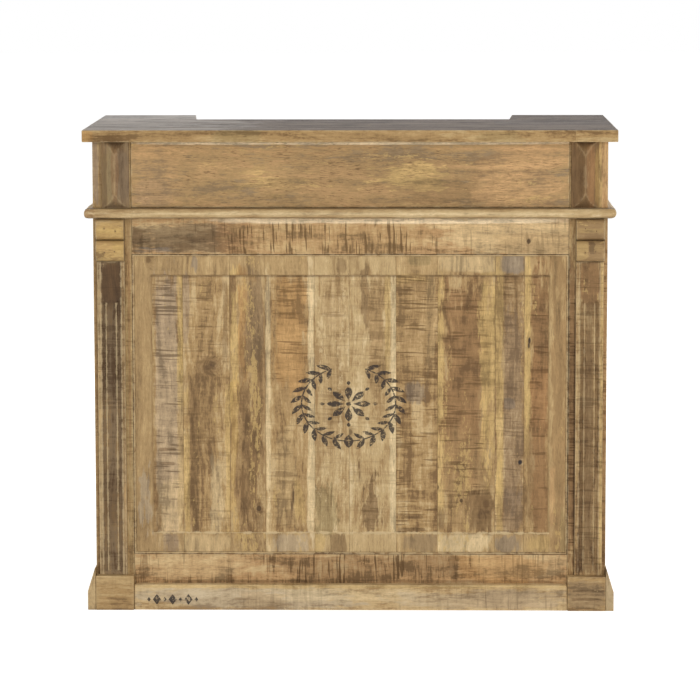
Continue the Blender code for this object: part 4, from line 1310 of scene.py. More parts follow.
        # Painted shade at the bead's outer rim and low on its inner slope, and a painted highlight along its
        # rounded face.
        outer = np.clip(1.5 - inward / 0.0014, 0.0, 1.0)
        inner = np.clip(inward / 0.0007 - 5.3, 0.0, 1.0)
        edge, rub = np.abs(inward - self.bead_highlight), np.full(len(inward), 0.55)
        stored = {"edge": edge, "rub": rub, "grime": outer + 0.6 * inner}
        flat = points.reshape(-1, 3)
        add_shaped("panel_bead", "strip", flat, faces, self.bead_wood, Grain.ALONG_X, stored)


# The marks on the frame's boards.
POST_MARKS: dict[str, list[Mark]] = {
    "left": stains(
        (T.MAUVE, -582, -566, 914, 1070, 0.8, -0.3), (T.UMBER, -566, -560, 914, 1070, 0.55, 0.0, 0.5),
        (T.BARK, -582, -569, 90, 890, 0.55), (T.OLIVE, -508, -492, 120, 700, 0.4),
        (T.RUST, -503, -497, 300, 890, 0.45),
    ),
    "right": stains(
        (T.PEACH, 558, 582, 914, 1070, 0.75, -0.5), (T.GOLD, 558, 566, 914, 1070, 0.55),
        (T.RUST, 569, 582, 90, 890, 0.55, 0.5), (T.RUST, 492, 509, 80, 820, 0.65, 0.4),
        # The two thin DEEP rows are painted shade beside the panel's rim and along the pilaster's edge.
        (T.UMBER, 488, 510, 80, 890, 0.55, 0.3), (T.DEEP, 491, 495, 118, 890, 0.65, 0.0, 0.4),
        (T.DEEP, 505, 510, 80, 800, 0.5, 0.0, 0.4),
    ),
}
TOP_RAIL_MARKS: list[Mark] = stains(
    (T.OLIVE, -492, -290, 812, 884, 0.65, -0.2), (T.SLATE, -492, -270, 812, 884, 0.3),
    (T.UMBER, -492, -270, 812, 884, 0.42, 0.2), (T.UMBER, -470, -230, 816, 868, 0.5, 0.0, 3.0),
    (T.SLATE, -480, -400, 812, 830, 0.55, 0.0, 1.6), (T.RUST, -300, -210, 812, 890, 0.35, 0.3),
    (T.HONEY, -240, 200, 812, 885, 0.45, 1.1), (T.CREAM, 200, 492, 812, 892, 0.8, -0.15),
    (T.TAN, 330, 480, 815, 860, 0.45),
) + [
    # Painted highlight: a near-white line along the rail's top, just under the moulding.
    stain_at(T.BONE, (0.089, -0.24, 0.8935), (0.399, 0.006, 0.0115), 0.8, -0.5, 0.3),
    knot(T.DEEP, 402.6, 842, 5.0, 0.85),
]
BOTTOM_RAIL_MARKS: list[Mark] = stains(
    (T.BARK, -200, 250, 64, 122, 0.45, 1.2), (T.CREAM, -492, -200, 66, 122, 0.4, -0.25),
    (T.CREAM, 300, 492, 70, 122, 0.4, -0.2), (T.UMBER, -490, 490, 58, 66, 0.5, 0.0, 0.6),
    (T.AMBER, 250, 420, 64, 122, 0.45, -0.2), (T.UMBER, 225, 245, 66, 122, 0.45, 0.6),
)
FRIEZE_MARKS: list[Mark] = stains(
    (T.MAUVE, -488, -400, 915, 985, 0.45), (T.GOLD, -300, -120, 955, 1015, 0.5, 0.0, 2.4),
    (T.TAN, -420, -200, 925, 1050, 0.45, 0.0, 1.6), (T.TAN, -200, 300, 925, 1050, 0.45, 0.0, 1.5),
    (T.GOLD, 40, 190, 975, 1020, 0.7, 0.0, 2.8), (T.BARK, 150, 290, 925, 980, 0.35, 0.0, 2.0),
    (T.PEACH, 290, 492, 920, 1060, 0.7), (T.PEACH, -490, -380, 920, 1060, 0.4),
) + [
    # Painted highlight: a near-white line along the frieze's top, just under the bar top.
    stain_at(T.BONE, (0.0, -0.244, 1.0675), (0.49, 0.008, 0.0075), 0.85, 0.0, 0.15),
    *stains((T.BARK, -200, 290, 925, 1058, 0.18)),
]


@dataclass
class FrontFrame:
    """The posts, rails and frieze."""

    step: Triple = (0.012, 0.02, 0.012)
    post: Timber = Timber(T.BARK, T.HONEY, T.STRAW, T.GOLD, 0.2, 0.2, 0.4, 0.55, 0.62)
    frieze: Timber = Timber(
        T.GREY_BROWN, T.HONEY, T.PEACH, T.GOLD, 0.3, 0.35, 0.05, 0.9, 0.5, 1.08, dash=0.8
    )
    top_rail: Timber = Timber(T.BARK, T.PEACH, T.CREAM, T.STRAW, 0.25, 0.35, 0.55, 1.2, 0.62)
    bottom_rail: Timber = Timber(T.BARK, T.PEACH, T.CREAM, T.PEACH, 0.2, 0.25, 0.6, 1.2, 0.62)

    def build(self) -> None:
        """Makes the five boards."""
        for side, marks in POST_MARKS.items():
            node = f"front_post_{side}"
            node_board(node, self.post, Grain.ALONG_Z, "frame_wood", marks=marks, step=self.step)
        self.build_frieze()
        for node, timber, marks in (
            ("top_rail", self.top_rail, TOP_RAIL_MARKS), ("bottom_rail", self.bottom_rail, BOTTOM_RAIL_MARKS),
        ):
            node_board(node, timber, Grain.ALONG_X, "frame_wood", marks=marks, step=self.step)

    def build_frieze(self) -> None:
        """The frieze, with a painted highlight under the top and painted shade along its foot."""
        foot, shade_reach = node_box("frieze_board")[0][2], 0.004
        node_board(
            "frieze_board", self.frieze, Grain.ALONG_X, "frieze_wood", marks=FRIEZE_MARKS, rub=0.45,
            step=self.step, arris=0.002, stored={"grime": lambda at: fade(at[:, 2] - foot, shade_reach) * 0.8},
            lines={2: (foot + 0.0015, foot + shade_reach)},
        )


@dataclass
class Moulding:
    """The bullnosed shelf moulding: one length across the front and a return along each side."""

    nose: float = 0.0095
    shade_start: float = 0.004
    shade_under: float = 0.003
    timber: Timber = Timber(T.TAN, T.STRAW, T.PALE_STRAW, T.PALE_STRAW, 0.2, 0.25, 0.0, 1.3, 0.48, 0.75)

    def build(self) -> None:
        """Makes the three lengths."""
        low, high = node_box("mid_moulding_front")

        def moulding_shade(at: Array) -> Array:
            """Painted shade on the upper face, behind the bullnose, and on the underside.

            Args:
                at: the places.

            Returns:
                How dark each is.
            """
            behind = np.clip((at[:, 1] - low[1]) / self.shade_start - 1, 0.0, 1.0)
            behind = behind * (at[:, 2] > high[2] - ON_PLANE) * 0.8
            return np.maximum(behind, fade(at[:, 2] - low[2], self.shade_under) * 0.5)

        # The PALE_STRAW row is a painted highlight along the front of the bullnose.
        marks = stains(
            (T.RUST, -600, -575, 890, 920, 0.55), (T.HONEY, 560, 600, 890, 920, 0.55),
            (T.PALE_STRAW, -580, 580, 904, 910, 0.55, 0.0, 0.5),
        )
        node_board(
            "mid_moulding_front", self.timber, Grain.ALONG_X, "moulding_wood", arris=self.nose, square="+y",
            step=(0.012, 0.006, 0.004), marks=marks, rub=0.0, stored={"grime": moulding_shade},
        )
        for side, square in (("left", "+x-y"), ("right", "-x-y")):
            node_board(
                f"mid_moulding_{side}", self.timber, Grain.ALONG_Y, "moulding_wood", arris=self.nose,
                square=square, step=(0.006, 0.012, 0.004), rub=0.2,
            )


# The marks on the carved blocks.
BLOCK_MARKS: dict[str, list[Mark]] = {
    "left": stains(
        (T.OLIVE, -559, -527, 930, 1050, 0.55, 0.0, 0.6), (T.UMBER, -562, -546, 915, 1070, 0.55, 0.0, 0.8),
        (T.SLATE, -527, -497, 930, 1050, 0.35, 0.0, 0.6), (T.UMBER, -520, -497, 920, 1070, 0.4, 0.0, 0.9),
        (T.RUST, -536, -520, 925, 1060, 0.45, 0.0, 0.8),
    ),
    "right": stains(
        (T.UMBER, 496, 526, 920, 1060, 0.45, 0.0, 0.6), (T.RUST, 530, 550, 920, 1060, 0.75, 0.0, 0.6),
        (T.OCHRE, 550, 560, 925, 1055, 0.35, 0.0, 0.6),
    ),
}


@dataclass
class CarvedBlocks:
    """The blocks at the frieze's ends, each cut to a ridge with hollowed sides and curved hips."""

    margin: float = 0.002
    base: float = 0.006
    rise: float = 0.017
    hollow: float = 1.7
    end: float = 0.033
    bend: float = 1.9
    round_over: float = 0.045
    step: float = 0.0009
    woods: tuple[Timber, Timber] = (
        Timber(T.UMBER, T.GREY_BROWN, T.TAN, T.TAN, 0.1, 0.3, 0.0, 0.8, 0.62, 0.6),
        Timber(T.UMBER, T.BARK, T.TAN, T.TAN, 0.15, 0.3, 0.0, 0.8, 0.62, 0.6),
    )

    def build(self) -> None:
        """Makes both blocks."""
        for side, timber in zip(SIDES, self.woods):
            node = f"diamond_block_{side}"
            low, high = node_box(node)
            middle, half = (low + high) / 2, (high - low) / 2
            foot = high[1] - self.base

            def shares(at: Array) -> tuple[Array, Array]:
                """How far up a side facet and an end facet a place would be, from 0 to 1 at the ridge.

                Args:
                    at: the places.

                Returns:
                    Both shares for each place.
                """
                aside = (half[0] - np.abs(at[:, 0] - middle[0]) - self.margin) / (half[0] - self.margin)
                ends = (half[2] - np.abs(at[:, 2] - middle[2]) - self.margin) / (self.end - self.margin)
                return np.clip(aside, 0.0, 1.0), np.maximum(ends, 0.0) ** (1 / self.bend)

            def relief(at: Array) -> Array:
                """Lifts the face by rise * share^hollow, share being the lesser facet's, its hips eased.

                Args:
                    at: the places.

                Returns:
                    The new places.
                """
                aside, ends = shares(at)
                gap = (aside - ends) / self.round_over
                share = (aside + ends - self.round_over * (np.sqrt(gap * gap + 1) - 1)) / 2
                share = np.minimum(np.where(np.abs(gap) > 8, np.minimum(aside, ends), share), aside)
                crown = np.abs(at[:, 0] - middle[0]) / half[0] / 0.06
                share = np.clip(share, 0.0, 1.0) - 0.02 * np.exp(-crown * crown) * (share > 0.6)
                lifted = foot - self.rise * np.clip(share, 0.0, 1.0) ** self.hollow
                moved = at.copy()
                moved[:, 1] = np.where(at[:, 1] < low[1] + ON_PLANE, lifted, np.maximum(at[:, 1], foot))
                return moved

            def ridge(at: Array) -> Array:
                """How far a place is from a hip or the ridge."""
                aside, ends = shares(at)
                return np.minimum(np.abs(aside - ends), (1 - aside) + 1.0 * (ends < 0.9)) * 0.016 + 0.0003

            def recess_shade(at: Array) -> Array:
                """Painted shade on the sides and at the ends, most near the top, where the bar top overhangs.

                Args:
                    at: the places.

                Returns:
                    How dark each is.
                """
                aside, ends = shares(at)
                upper = (at[:, 2] > middle[2]) * 0.3 + 0.45
                tips = np.clip((aside - ends) * 3, 0.0, 1.0) * np.clip(1.3 - ends * 1.25, 0.0, 1.0) * upper
                return np.maximum(tips, (np.abs(at[:, 0] - middle[0]) > half[0] - ON_PLANE) * 0.9)

            node_board(
                node, timber, Grain.ALONG_Z, "carved_wood", arris=0.0006, step=(self.step, 0.006, self.step),
                relief=relief, stored={"edge": ridge, "grime": recess_shade}, rub=0.16, marks=BLOCK_MARKS[side],
            )


# Stains' rows for each corbel, from its middle and its foot.
CORBEL_SHADES: dict[str, tuple] = {
    "left": (
        (T.OCHRE, -34, 34, -4, 98, 0.45), (T.UMBER, -32, -14, 2, 22, 0.6, 0.0, 1.8),
        (T.PEACH, -28, 6, 26, 46, 0.35),
    ),
    "right": (
        (T.BARK, -34, 34, -4, 98, 0.5), (T.UMBER, -2, 8, 22, 42, 0.75, 0.0, 1.8),
        (T.BARK, -10, 24, 52, 68, 0.4, 0.0, 1.6), (T.GOLD, -30, -8, 4, 46, 0.4),
    ),
}


@dataclass
class Corbels:
    """The two-lobed corbels: two half rounds with a crease between, carried across."""

    crease: float = 0.014
    lobe: float = 0.016
    fullness: float = 0.75
    steps: int = 30
    arris: float = 0.0024
    crease_line: float = 0.0026
    crease_shade: float = 0.011
    timber: Timber = Timber(T.TAN, T.HONEY, T.STRAW, T.GOLD, 0.45, 0.3, 0.0, 1.2, 0.42, 0.7, 0.3)

    def profile(self, height: float) -> Array:
        """The corbel from the side: each lobe stands out by cos^fullness of its turn.

        Args:
            height: the corbel's.

        Returns:
            Points as (outward, up).
        """
        turns = np.linspace(-math.pi / 2, math.pi / 2, self.steps)
        out = self.crease + self.lobe * np.maximum(np.cos(turns), 0.0) ** self.fullness
        reach = height / 4
        lobes = [np.stack([out, reach * row + (reach - 0.0004) * np.sin(turns)], axis=1) for row in (1, 3)]
        back = np.stack([np.zeros(self.steps), np.linspace(height, 0.0, self.steps)], axis=1)
        return np.concatenate([*lobes, back])

    def build(self) -> None:
        """Makes both corbels, with their nail holes as small knots."""
        holes = ((-12, 76), (13, 70), (-12, 22), (11, 24))
        for side in SIDES:
            node = f"corbel_{side}"
            low, high = node_box(node)
            along, inward = eased_ends(low[0], high[0], 0.008, self.arris)
            flat, faces = sweep(self.profile(high[2] - low[2]), along, inward)
            points = np.stack([flat[:, 2], high[1] - flat[:, 0], low[2] + flat[:, 1]], axis=1)
            sides = np.minimum(points[:, 0] - low[0], high[0] - points[:, 0])
            up, tall = points[:, 2] - low[2], high[2] - low[2]
            # Painted shade: a dark line and a softer band at the crease, a band under the top where the
            # moulding overhangs, and the sides.
            gap = np.minimum(np.abs(up - tall / 2), up)
            deep = fade(gap, self.crease_line) * 0.65 + fade(gap, self.crease_shade) * 0.25
            under = np.clip((up - tall + 0.007) / 0.004, 0.0, 1.0) * 0.55
            flank = np.where(sides < self.arris * 0.25, 0.8, 0.0)
            grime = np.maximum(np.maximum(deep, under), flank)
            stored = {"edge": np.abs(sides), "rub": np.full(len(points), 0.25), "grime": grime}
            middle = (low[0] + high[0]) / 2
            marks = [knot(T.UMBER, middle * 1000 + x, low[2] * 1000 + z, 1.5, 0.8) for x, z in holes]
            # The two GOLD rows are painted highlights across the middle of each lobe.
            marks += stains(
                (T.GOLD, -26, 28, 66, 76, 0.7, 0.0, 0.6), (T.GOLD, -26, 28, 24, 38, 0.5, 0.0, 0.6),
                *CORBEL_SHADES[side], x=middle, z=low[2],
            )
            add_shaped(
                node, "block", points, faces, self.timber, Grain.ALONG_X, stored, marks
            )


# Stains' rows for each pilaster, from its middle.
PILASTER_SHADES: dict[str, tuple] = {
    "left": (
        (T.UMBER, -22, 22, 700, 792, 0.95, -0.2, 0.4), (T.DEEP, -22, 22, 690, 796, 0.5, 0.0, 0.6),
        (T.UMBER, -21, 21, 180, 330, 0.5, 0.2, 1.0), (T.DEEP, -21, 21, 480, 715, 0.35, 0.0, 0.6),
        (T.STRAW, -32, -24, 85, 797, 0.45, 0.0, 0.5), (T.HONEY, 24, 32, 85, 797, 0.45, 0.0, 0.5),
    ),
    "right": (
        (T.RUST, -22, 22, 700, 792, 0.9, 0.0, 0.4), (T.BARK, -22, 22, 690, 796, 0.75, 0.1, 0.8),
        (T.BARK, -21, 8, 100, 690, 0.6, 0.0, 0.8), (T.GOLD, 24, 32, 85, 797, 0.55, 0.0, 0.5),
    ),
}


@dataclass
class Pilasters:
    """The fluted pilasters: a margin, a sunk middle, and three flutes that stop round at both ends."""

    margin: float = 0.009
    sunk: float = 0.0012
    wide: float = 0.02
    narrow: float = 0.007
    ridge: float = 0.003
    flute: float = 0.0035
    top_stop: float = 0.09
    foot_stop: float = 0.006
    woods: tuple[Timber, Timber] = (
        Timber(T.UMBER, T.GREY_BROWN, T.TAN, T.STRAW, 0.1, 0.3, 0.45, 0.5, 0.62, 0.9),
        Timber(T.UMBER, T.TAN, T.STRAW, T.GOLD, 0.2, 0.4, 0.5, 0.5, 0.62, 0.9),
    )
    # How strong the painted shade in the flutes is, on each side.
    flute_shade: tuple[float, float] = (0.5, 0.45)
    rubs: tuple[float, float] = (0.45, 0.3)

    def build(self) -> None:
        """Makes both pilasters."""
        for side, timber, flute_shade, rub in zip(SIDES, self.woods, self.flute_shade, self.rubs):
            node = f"pilaster_{side}"
            low, high = node_box(node)
            middle, half = (low[0] + high[0]) / 2, (high[0] - low[0]) / 2
            foot, head = low[2] + self.foot_stop, high[2] - self.top_stop
            aside = self.wide / 2 + self.ridge + self.narrow / 2
            flutes = ((-aside, self.narrow), (0.0, self.wide), (aside, self.narrow))

            def sink(at: Array) -> Array:
                """Round flutes of depth flute * sqrt(1 - off^2), in a sunk middle.

                Args:
                    at: the places.

                Returns:
                    How deep each lies.
                """
                x, z = at[:, 0] - middle, at[:, 2]
                rim = np.clip((half - self.margin + 0.0006 - np.abs(x)) / 0.0012, 0.0, 1.0)
                deep = np.zeros(len(at))
                for centre, width in flutes:
                    radius = width / 2
                    past = np.maximum(np.maximum(foot + radius - z, z - head + radius), 0.0)
                    off = np.hypot(x - centre, past) / radius
                    deep = np.maximum(deep, self.flute * np.sqrt(np.clip(1 - off * off, 0.0, 1.0)))
                return self.sunk * rim + deep

            def relief(at: Array) -> Array:
                """Pushes the face in by the sink, less towards the back."""
                return pushed(at, 1, sink(at) * frontness(at, low, high))

            def ridge(at: Array) -> Array:
                """The distance to the nearest arris of the margins or flutes.

                Args:
                    at: the places.

                Returns:
                    How far off each is.
                """
                x = np.abs(at[:, 0] - middle)
                fluted = (at[:, 2] > foot + 0.004) * (at[:, 2] < head - 0.004)
                crest = np.abs(x - self.wide / 2 - self.ridge / 2) + 1.0 * (fluted == 0)
                margin = np.abs(x - half + self.margin - 0.001)
                return np.stack([margin, crest, half - x, high[2] - at[:, 2]]).min(axis=0)

            def recess_shade(at: Array) -> Array:
                """Painted shade in the flutes and the sunk middle, along the top, and on the sides.

                Args:
                    at: the places.

                Returns:
                    How dark each is.
                """
                x = np.abs(at[:, 0] - middle)
                deep = np.clip(sink(at) / (self.sunk + self.flute), 0.0, 1.0) * flute_shade
                corner = fade(np.abs(x - half + self.margin + 0.0012), 0.0018) * 0.55
                head_line = fade(high[2] - at[:, 2], 0.006) * 0.8
                return np.stack([deep, corner, head_line, (x > half - ON_PLANE) * 0.85]).max(axis=0)

            ends = np.linspace(0.0, self.wide / 2, 8)
            node_board(
                node, timber, Grain.ALONG_Z, "frame_wood", arris=0.0008, step=(0.0007, 0.005, 0.006),
                relief=relief, lines={2: [*(foot + ends), *(head - ends), high[2] - 0.003, high[2] - 0.006]},
                stored={"edge": ridge, "grime": recess_shade}, rub=rub,
                marks=stains(*PILASTER_SHADES[side], x=middle),
            )


# The marks on the plinth.
PLINTH_BLOCK_MARKS: dict[str, list[Mark]] = {
    "left": stains((T.STRAW, -582, -492, 60, 80, 0.35), (T.TAN, -570, -500, 2, 30, 0.35)),
    "right": stains(
        (T.GREY_BROWN, 492, 582, 2, 62, 0.65, 0.3), (T.UMBER, 500, 575, 24, 30, 0.55, 0.0, 1.4),
        (T.UMBER, 500, 575, 44, 48, 0.5, 0.0, 1.4),
    ),
}
PLINTH_MARKS: list[Mark] = stains(
    (T.GOLD, -492, 492, 50, 58, 0.45, 0.0, 0.6), (T.FOG, -492, 60, 4, 48, 0.5),
    (T.TAN, -250, -150, 4, 40, 0.4), (T.HONEY, 200, 492, 2, 48, 0.65, 0.2),
    (T.TAN, 300, 420, 2, 40, 0.45, 0.2), (T.PALE_STRAW, -160, 180, 20, 50, 0.4),
    (T.FOG, 60, 492, 4, 46, 0.35),
)


@dataclass
class Plinth:
    """The plinth board, its blocks and the chamfered skirts along the sides."""

    board: Timber = Timber(T.TAN, T.CREAM, T.PALE_STRAW, T.PALE_STRAW, 0.2, 0.4, 0.25, 1.4, 0.62)
    block: Timber = Timber(T.BARK, T.HONEY, T.STRAW, T.STRAW, 0.15, 0.6, 0.12, 1.0, 0.64)
    skirt_straight: float = 0.043
    skirt_lip: float = 0.0015
    skirt_ease: float = 0.0015
    lozenges: Stencil = Stencil("Lozenges", (-0.405, 0.024), 0.062)

    def build(self) -> None:
        """Makes the plinth's five pieces."""
        node_board(
            "plinth_board", self.board, Grain.ALONG_X, "plinth_wood", arris=0.0035, square="+y-z",
            step=(0.012, 0.01, 0.008), marks=PLINTH_MARKS, stencil=self.lozenges,
        )
        for side, sign in SIDES.items():
            node_board(
                f"plinth_block_{side}", self.block, Grain.ALONG_X, "plinth_wood", arris=0.0026, square="+y-z",
                step=(0.006, 0.008, 0.006), rub=0.3, marks=PLINTH_BLOCK_MARKS[side],
            )
            self.build_skirt(f"plinth_skirt_{side}", sign)

    def build_skirt(self, node: str, sign: int) -> None:
        """A skirt: upright to a third of its height, then one long chamfer up to a thin lip.

        Args:
            node: the skirt's node.
            sign: -1 on the left, 1 on the right.
        """
        low, high = node_box(node)
        inner = high[0] if sign < 0 else low[0]
        thick, tall, bend = high[0] - low[0], high[2], self.skirt_straight
        corners = [(0.0, 0.0), (thick, 0.0), (thick, bend), (thick - self.skirt_ease, bend + 0.005)]
        corners += [(self.skirt_lip, tall), (0.0, tall)]
        along, inward = eased_ends(low[1], high[1], 0.015, 0.0012)
        flat, faces = sweep(outline(corners, 8), along, inward)
        points = np.stack([inner + sign * flat[:, 0], flat[:, 2], flat[:, 1]], axis=1)
        ends = np.minimum(points[:, 1] - low[1], high[1] - points[:, 1])
        stored = {"edge": np.abs(ends), "rub": np.full(len(points), 0.35)}
        # Painted shade: a grey cast on the right skirt's side.
        marks = stains((T.SLATE, 560, 620, 0, 130, 0.45)) if sign > 0 else ()
        faces = faces[:, ::-sign]
        add_shaped(node, "strip", points, faces, self.block, Grain.ALONG_Y, stored, marks)


@dataclass
class BarTop:
    """The bar top: four staves glued along the front board, and two on each arm."""

    joint: float = 0.00012
    staves: tuple[float, ...] = (0.104, 0.092, 0.098, 0.094)
    breaks: tuple[float, ...] = (0.505, -0.214, 0.33, -0.402)
    splay: float = 0.012
    arris: float = 0.002
    edge: Span = (-0.275, 1.08)
    step: Triple = (0.012, 0.012, 0.009)
    woods: tuple[Timber, ...] = (
        Timber(T.BARK, T.HONEY, T.STRAW, T.STRAW, 0.05, 0.5, 0.1, 1.2, 0.62, 1.0, 0.12),
        Timber(T.UMBER, T.GREY_BROWN, T.TAN, T.STRAW, 0.05, 0.4, 0.15, 1.2, 0.62, 1.5, 0.12),
        Timber(T.BARK, T.GREY_BROWN, T.HONEY, T.STRAW, 0.05, 0.5, 0.15, 1.3, 0.62, 1.5, 0.12),
        Timber(T.UMBER, T.OLIVE, T.TAN, T.STRAW, 0.05, 0.4, 0.15, 1.1, 0.62, 1.5, 0.12),
    )
    # Painted reflection and shade: the whole upper face is drawn to a dark grey, and the left to a paler
    # grey, as the waxed top shows at a grazing view.
    face: Mark = stain_at(T.SMOKE, (0.0, 0.0, 1.0962), (THROUGH, THROUGH, 0.002), 0.85, -0.2, 0.3)
    left_sheen: Mark = stain_at(T.MIST, (-0.6, 0.0, 1.0962), (0.36, THROUGH, 0.002), 0.66, 0.0, 0.7)

    def build(self) -> None:
        """Makes the staves, each in two lengths, and the arms."""
        low, high = node_box("bar_top")
        seams = cuts(low[1], high[1], self.staves)
        # Each row tints a length of the front edge: tone, middle, half length, strength, raggedness.
        edge = [
            stain_at(tone, (x, *self.edge), (reach, 0.02, 0.013), strength, 0.0, ragged)
            for tone, x, reach, strength, ragged in (
                (T.UMBER, -0.54, 0.03, 0.28, 2.0), (T.AMBER, -0.588, 0.012, 0.5, 1.0),
                (T.TAN, -0.42, 0.09, 0.45, 1.0), (T.OLIVE, -0.25, 0.05, 0.5, 1.0),
                (T.TAN, 0.06, 0.16, 0.55, 1.0), (T.OLIVE, 0.33, 0.06, 0.45, 1.0),
            )
        ]
        last = len(self.staves)
        rows = zip(seams, seams[1:], self.breaks)
        for number, (start, end, cut) in enumerate(rows, start=1):
            ends = (low[0], cut, high[0])
            y = (start + self.joint * (number > 1), end - self.joint)
            sides = ("-y" if number > 1 else "") + ("+y" if number < last else "")
            for part, (left, right) in enumerate(zip(ends, ends[1:]), start=1):
                Board(
                    f"bar_top_stave_{number}_{part}",
                    (left + self.joint * (part == 2), right - self.joint * (part == 1)), y, (low[2], high[2]),
                    self.woods[(number + part) % 4 if number > 1 else 0], Grain.ALONG_X, "bar_top",
                    "bar_top_wood", arris=self.arris, square=("+x" if part == 1 else "-x") + sides,
                    step=self.step, marks=[self.face, self.left_sheen] + (edge if number == 1 else []),
                ).build()
        for side, sign in SIDES.items():
            self.build_arm(f"bar_top_arm_{side}", sign)

    def build_arm(self, node: str, sign: int) -> None:
        """An arm, two staves deep, its inner end slanting out from the front board.

        Args:
            node: the arm's node.
            sign: -1 on the left, 1 on the right.
        """
        low, high = node_box(node)
        half = (low[1] + high[1]) / 2
        inner = high[0] if sign < 0 else low[0]

        def slant(at: Array) -> Array:
            """Shears the inner end: full reach at the seam, less by the splay at the back.

            Args:
                at: the places.

            Returns:
                The new places.
            """
            share = (at[:, 1] - low[1]) / (high[1] - low[1])
            near = 1 - np.abs(at[:, 0] - inner) / (high[0] - low[0])
            return pushed(at, 0, sign * self.splay * share * near)

        sheen = {"roughness": 0.5, "gloss": 0.3} if sign < 0 else {}
        for row, (start, end) in enumerate(((low[1], half), (half, high[1])), start=1):
            marks = [self.face, self.left_sheen] if sign < 0 else [self.face]
            for x, y, reach, strength in ((0.41, 0.045, 0.006, 0.7), (0.5, 0.03, 0.005, 0.6)):
                at = (sign * x, start + y, 1.095)
                marks.append(Mark(at, (reach, 0.004, 0.02), T.UMBER, strength))
            Board(
                f"{node}_stave_{row}", (low[0], high[0]),
                (start + self.joint * (row == 2), end - self.joint * (row == 1)), (low[2], high[2]),
                replace(self.woods[row], **sheen), Grain.ALONG_X, node, "bar_top_wood", arris=self.arris,
                square="+y" if row == 1 else "-y", step=self.step, relief=slant, marks=marks,
            ).build()


@dataclass
class CabinetSides:
    """Each side: rails, back stile and a planked panel."""

    planks: int = 4
    joint: float = 0.00012
    frame_wood: Timber = Timber(T.BARK, T.TAN, T.STRAW, T.OCHRE, 0.15, 0.3, 0.45, 1.1, 0.62)
    plank_woods: tuple[Timber, ...] = (
        Timber(T.BARK, T.TAN, T.STRAW, T.STRAW, 0.15, 0.4, 0.8, 1.2),
        Timber(T.UMBER, T.HONEY, T.STRAW, T.OCHRE, 0.3, 0.7, 0.6, 1.4),
        Timber(T.BARK, T.GREY_BROWN, T.TAN, T.STRAW, 0.1, 0.4, 0.9, 1.1),
        Timber(T.TAN, T.STRAW, T.PALE_STRAW, T.PALE_STRAW, 0.2, 0.4, 0.55, 1.2),
    )

    def build(self) -> None:
        """Makes both sides."""
        along = Grain.ALONG_Y
        frames = {"side_rail_lower": along, "side_rail_upper": along, "back_stile": Grain.ALONG_Z}
        for side, sign in SIDES.items():
            for name, grain in frames.items():
                node_board(f"{name}_{side}", self.frame_wood, grain, "side_wood")
            node = f"side_panel_{side}"
            x, y, z = node_spans(node)
            seams = np.linspace(*y, self.planks + 1)
            for number, (start, end) in enumerate(zip(seams, seams[1:]), start=1):
                at = (0.0, (start + end) / 2, 0.25 + 0.13 * number)
                Board(
                    f"side_plank_{side}_{number}", x, (start + self.joint, end - self.joint), z,
                    self.plank_woods[(number + (sign > 0)) % 4], Grain.ALONG_Z, node, "side_wood",
                    arris=0.0009, step=(0.02, 0.01, 0.01), rub=0.15,
                    marks=[Mark(at, (THROUGH, 0.007, 0.01), T.UMBER, 0.7)] if number % 2 else (),
                ).build()


@dataclass
class Interior:
    """The boards behind the front: bottle racks, worktop, divider, shelf, floor and toe rail."""

    wall: float = 0.018
    shelf: float = 0.018
    rows: int = 5
    floor: float = 0.076
    gap: float = 0.0003
    wall_gap: float = 0.0002
    shelf_inset: float = 0.006
    toe_inset: float = 0.017
    plain: Timber = Timber(T.BARK, T.HONEY, T.STRAW, T.STRAW, 0.15, 0.4, 0.15, 1.3, 0.6, 0.7)
    worked: Timber = Timber(T.BARK, T.PEACH, T.STRAW, T.OCHRE, 0.2, 0.5, 0.05, 1.4, 0.5, 0.7)

    def build(self) -> None:
        """Makes all the inner boards."""
        node_board("worktop", self.worked, Grain.ALONG_X, "drawer_wood", arris=0.003, rub=0.2)
        node_board("drawer_divider", self.plain, Grain.ALONG_Z, "inner_wood")
        for node in ("drawer_board", "cupboard_floor", "cupboard_shelf", "cupboard_toe_rail"):
            node_board(node, self.plain, Grain.ALONG_X, "inner_wood")
        for side, sign in SIDES.items():
            self.build_rack(side, sign)

    def build_rack(self, side: str, sign: int) -> None:
        """A bottle rack: the inner wall, its shelves at an even pitch, and the toe rail.

        Args:
            side: left or right.
            sign: -1 or 1 for the side.
        """
        node = f"bottle_rack_{side}"
        low, high = node_box(node)
        near, far = (high[0], low[0]) if sign < 0 else (low[0], high[0])
        span = sorted((near + sign * (self.wall + self.wall_gap), far))
        front = node_box(f"front_post_{side}")[1][1] + self.gap
        pitch = (high[2] - self.floor) / self.rows
        toe = high[1] - self.toe_inset
        wall = (sorted((near, near + sign * self.wall)), *node_spans(node)[1:])
        parts = [(f"rack_wall_{side}", *wall, Grain.ALONG_Z)]
        for row in range(self.rows):
            level = self.floor + row * pitch
            reach, thick = (front, high[1] - self.shelf_inset), (level, level + self.shelf)
            parts.append((f"bottle_shelf_{side}_{row + 1}", span, reach, thick, Grain.ALONG_Y))
        rail = (span, (toe - self.shelf, toe), (0.0, self.floor - self.gap))
        parts.append((f"rack_toe_rail_{side}", *rail, Grain.ALONG_X))
        for name, x, y, z, grain in parts:
            Board(name, x, y, z, self.plain, grain, node, "inner_wood").build()


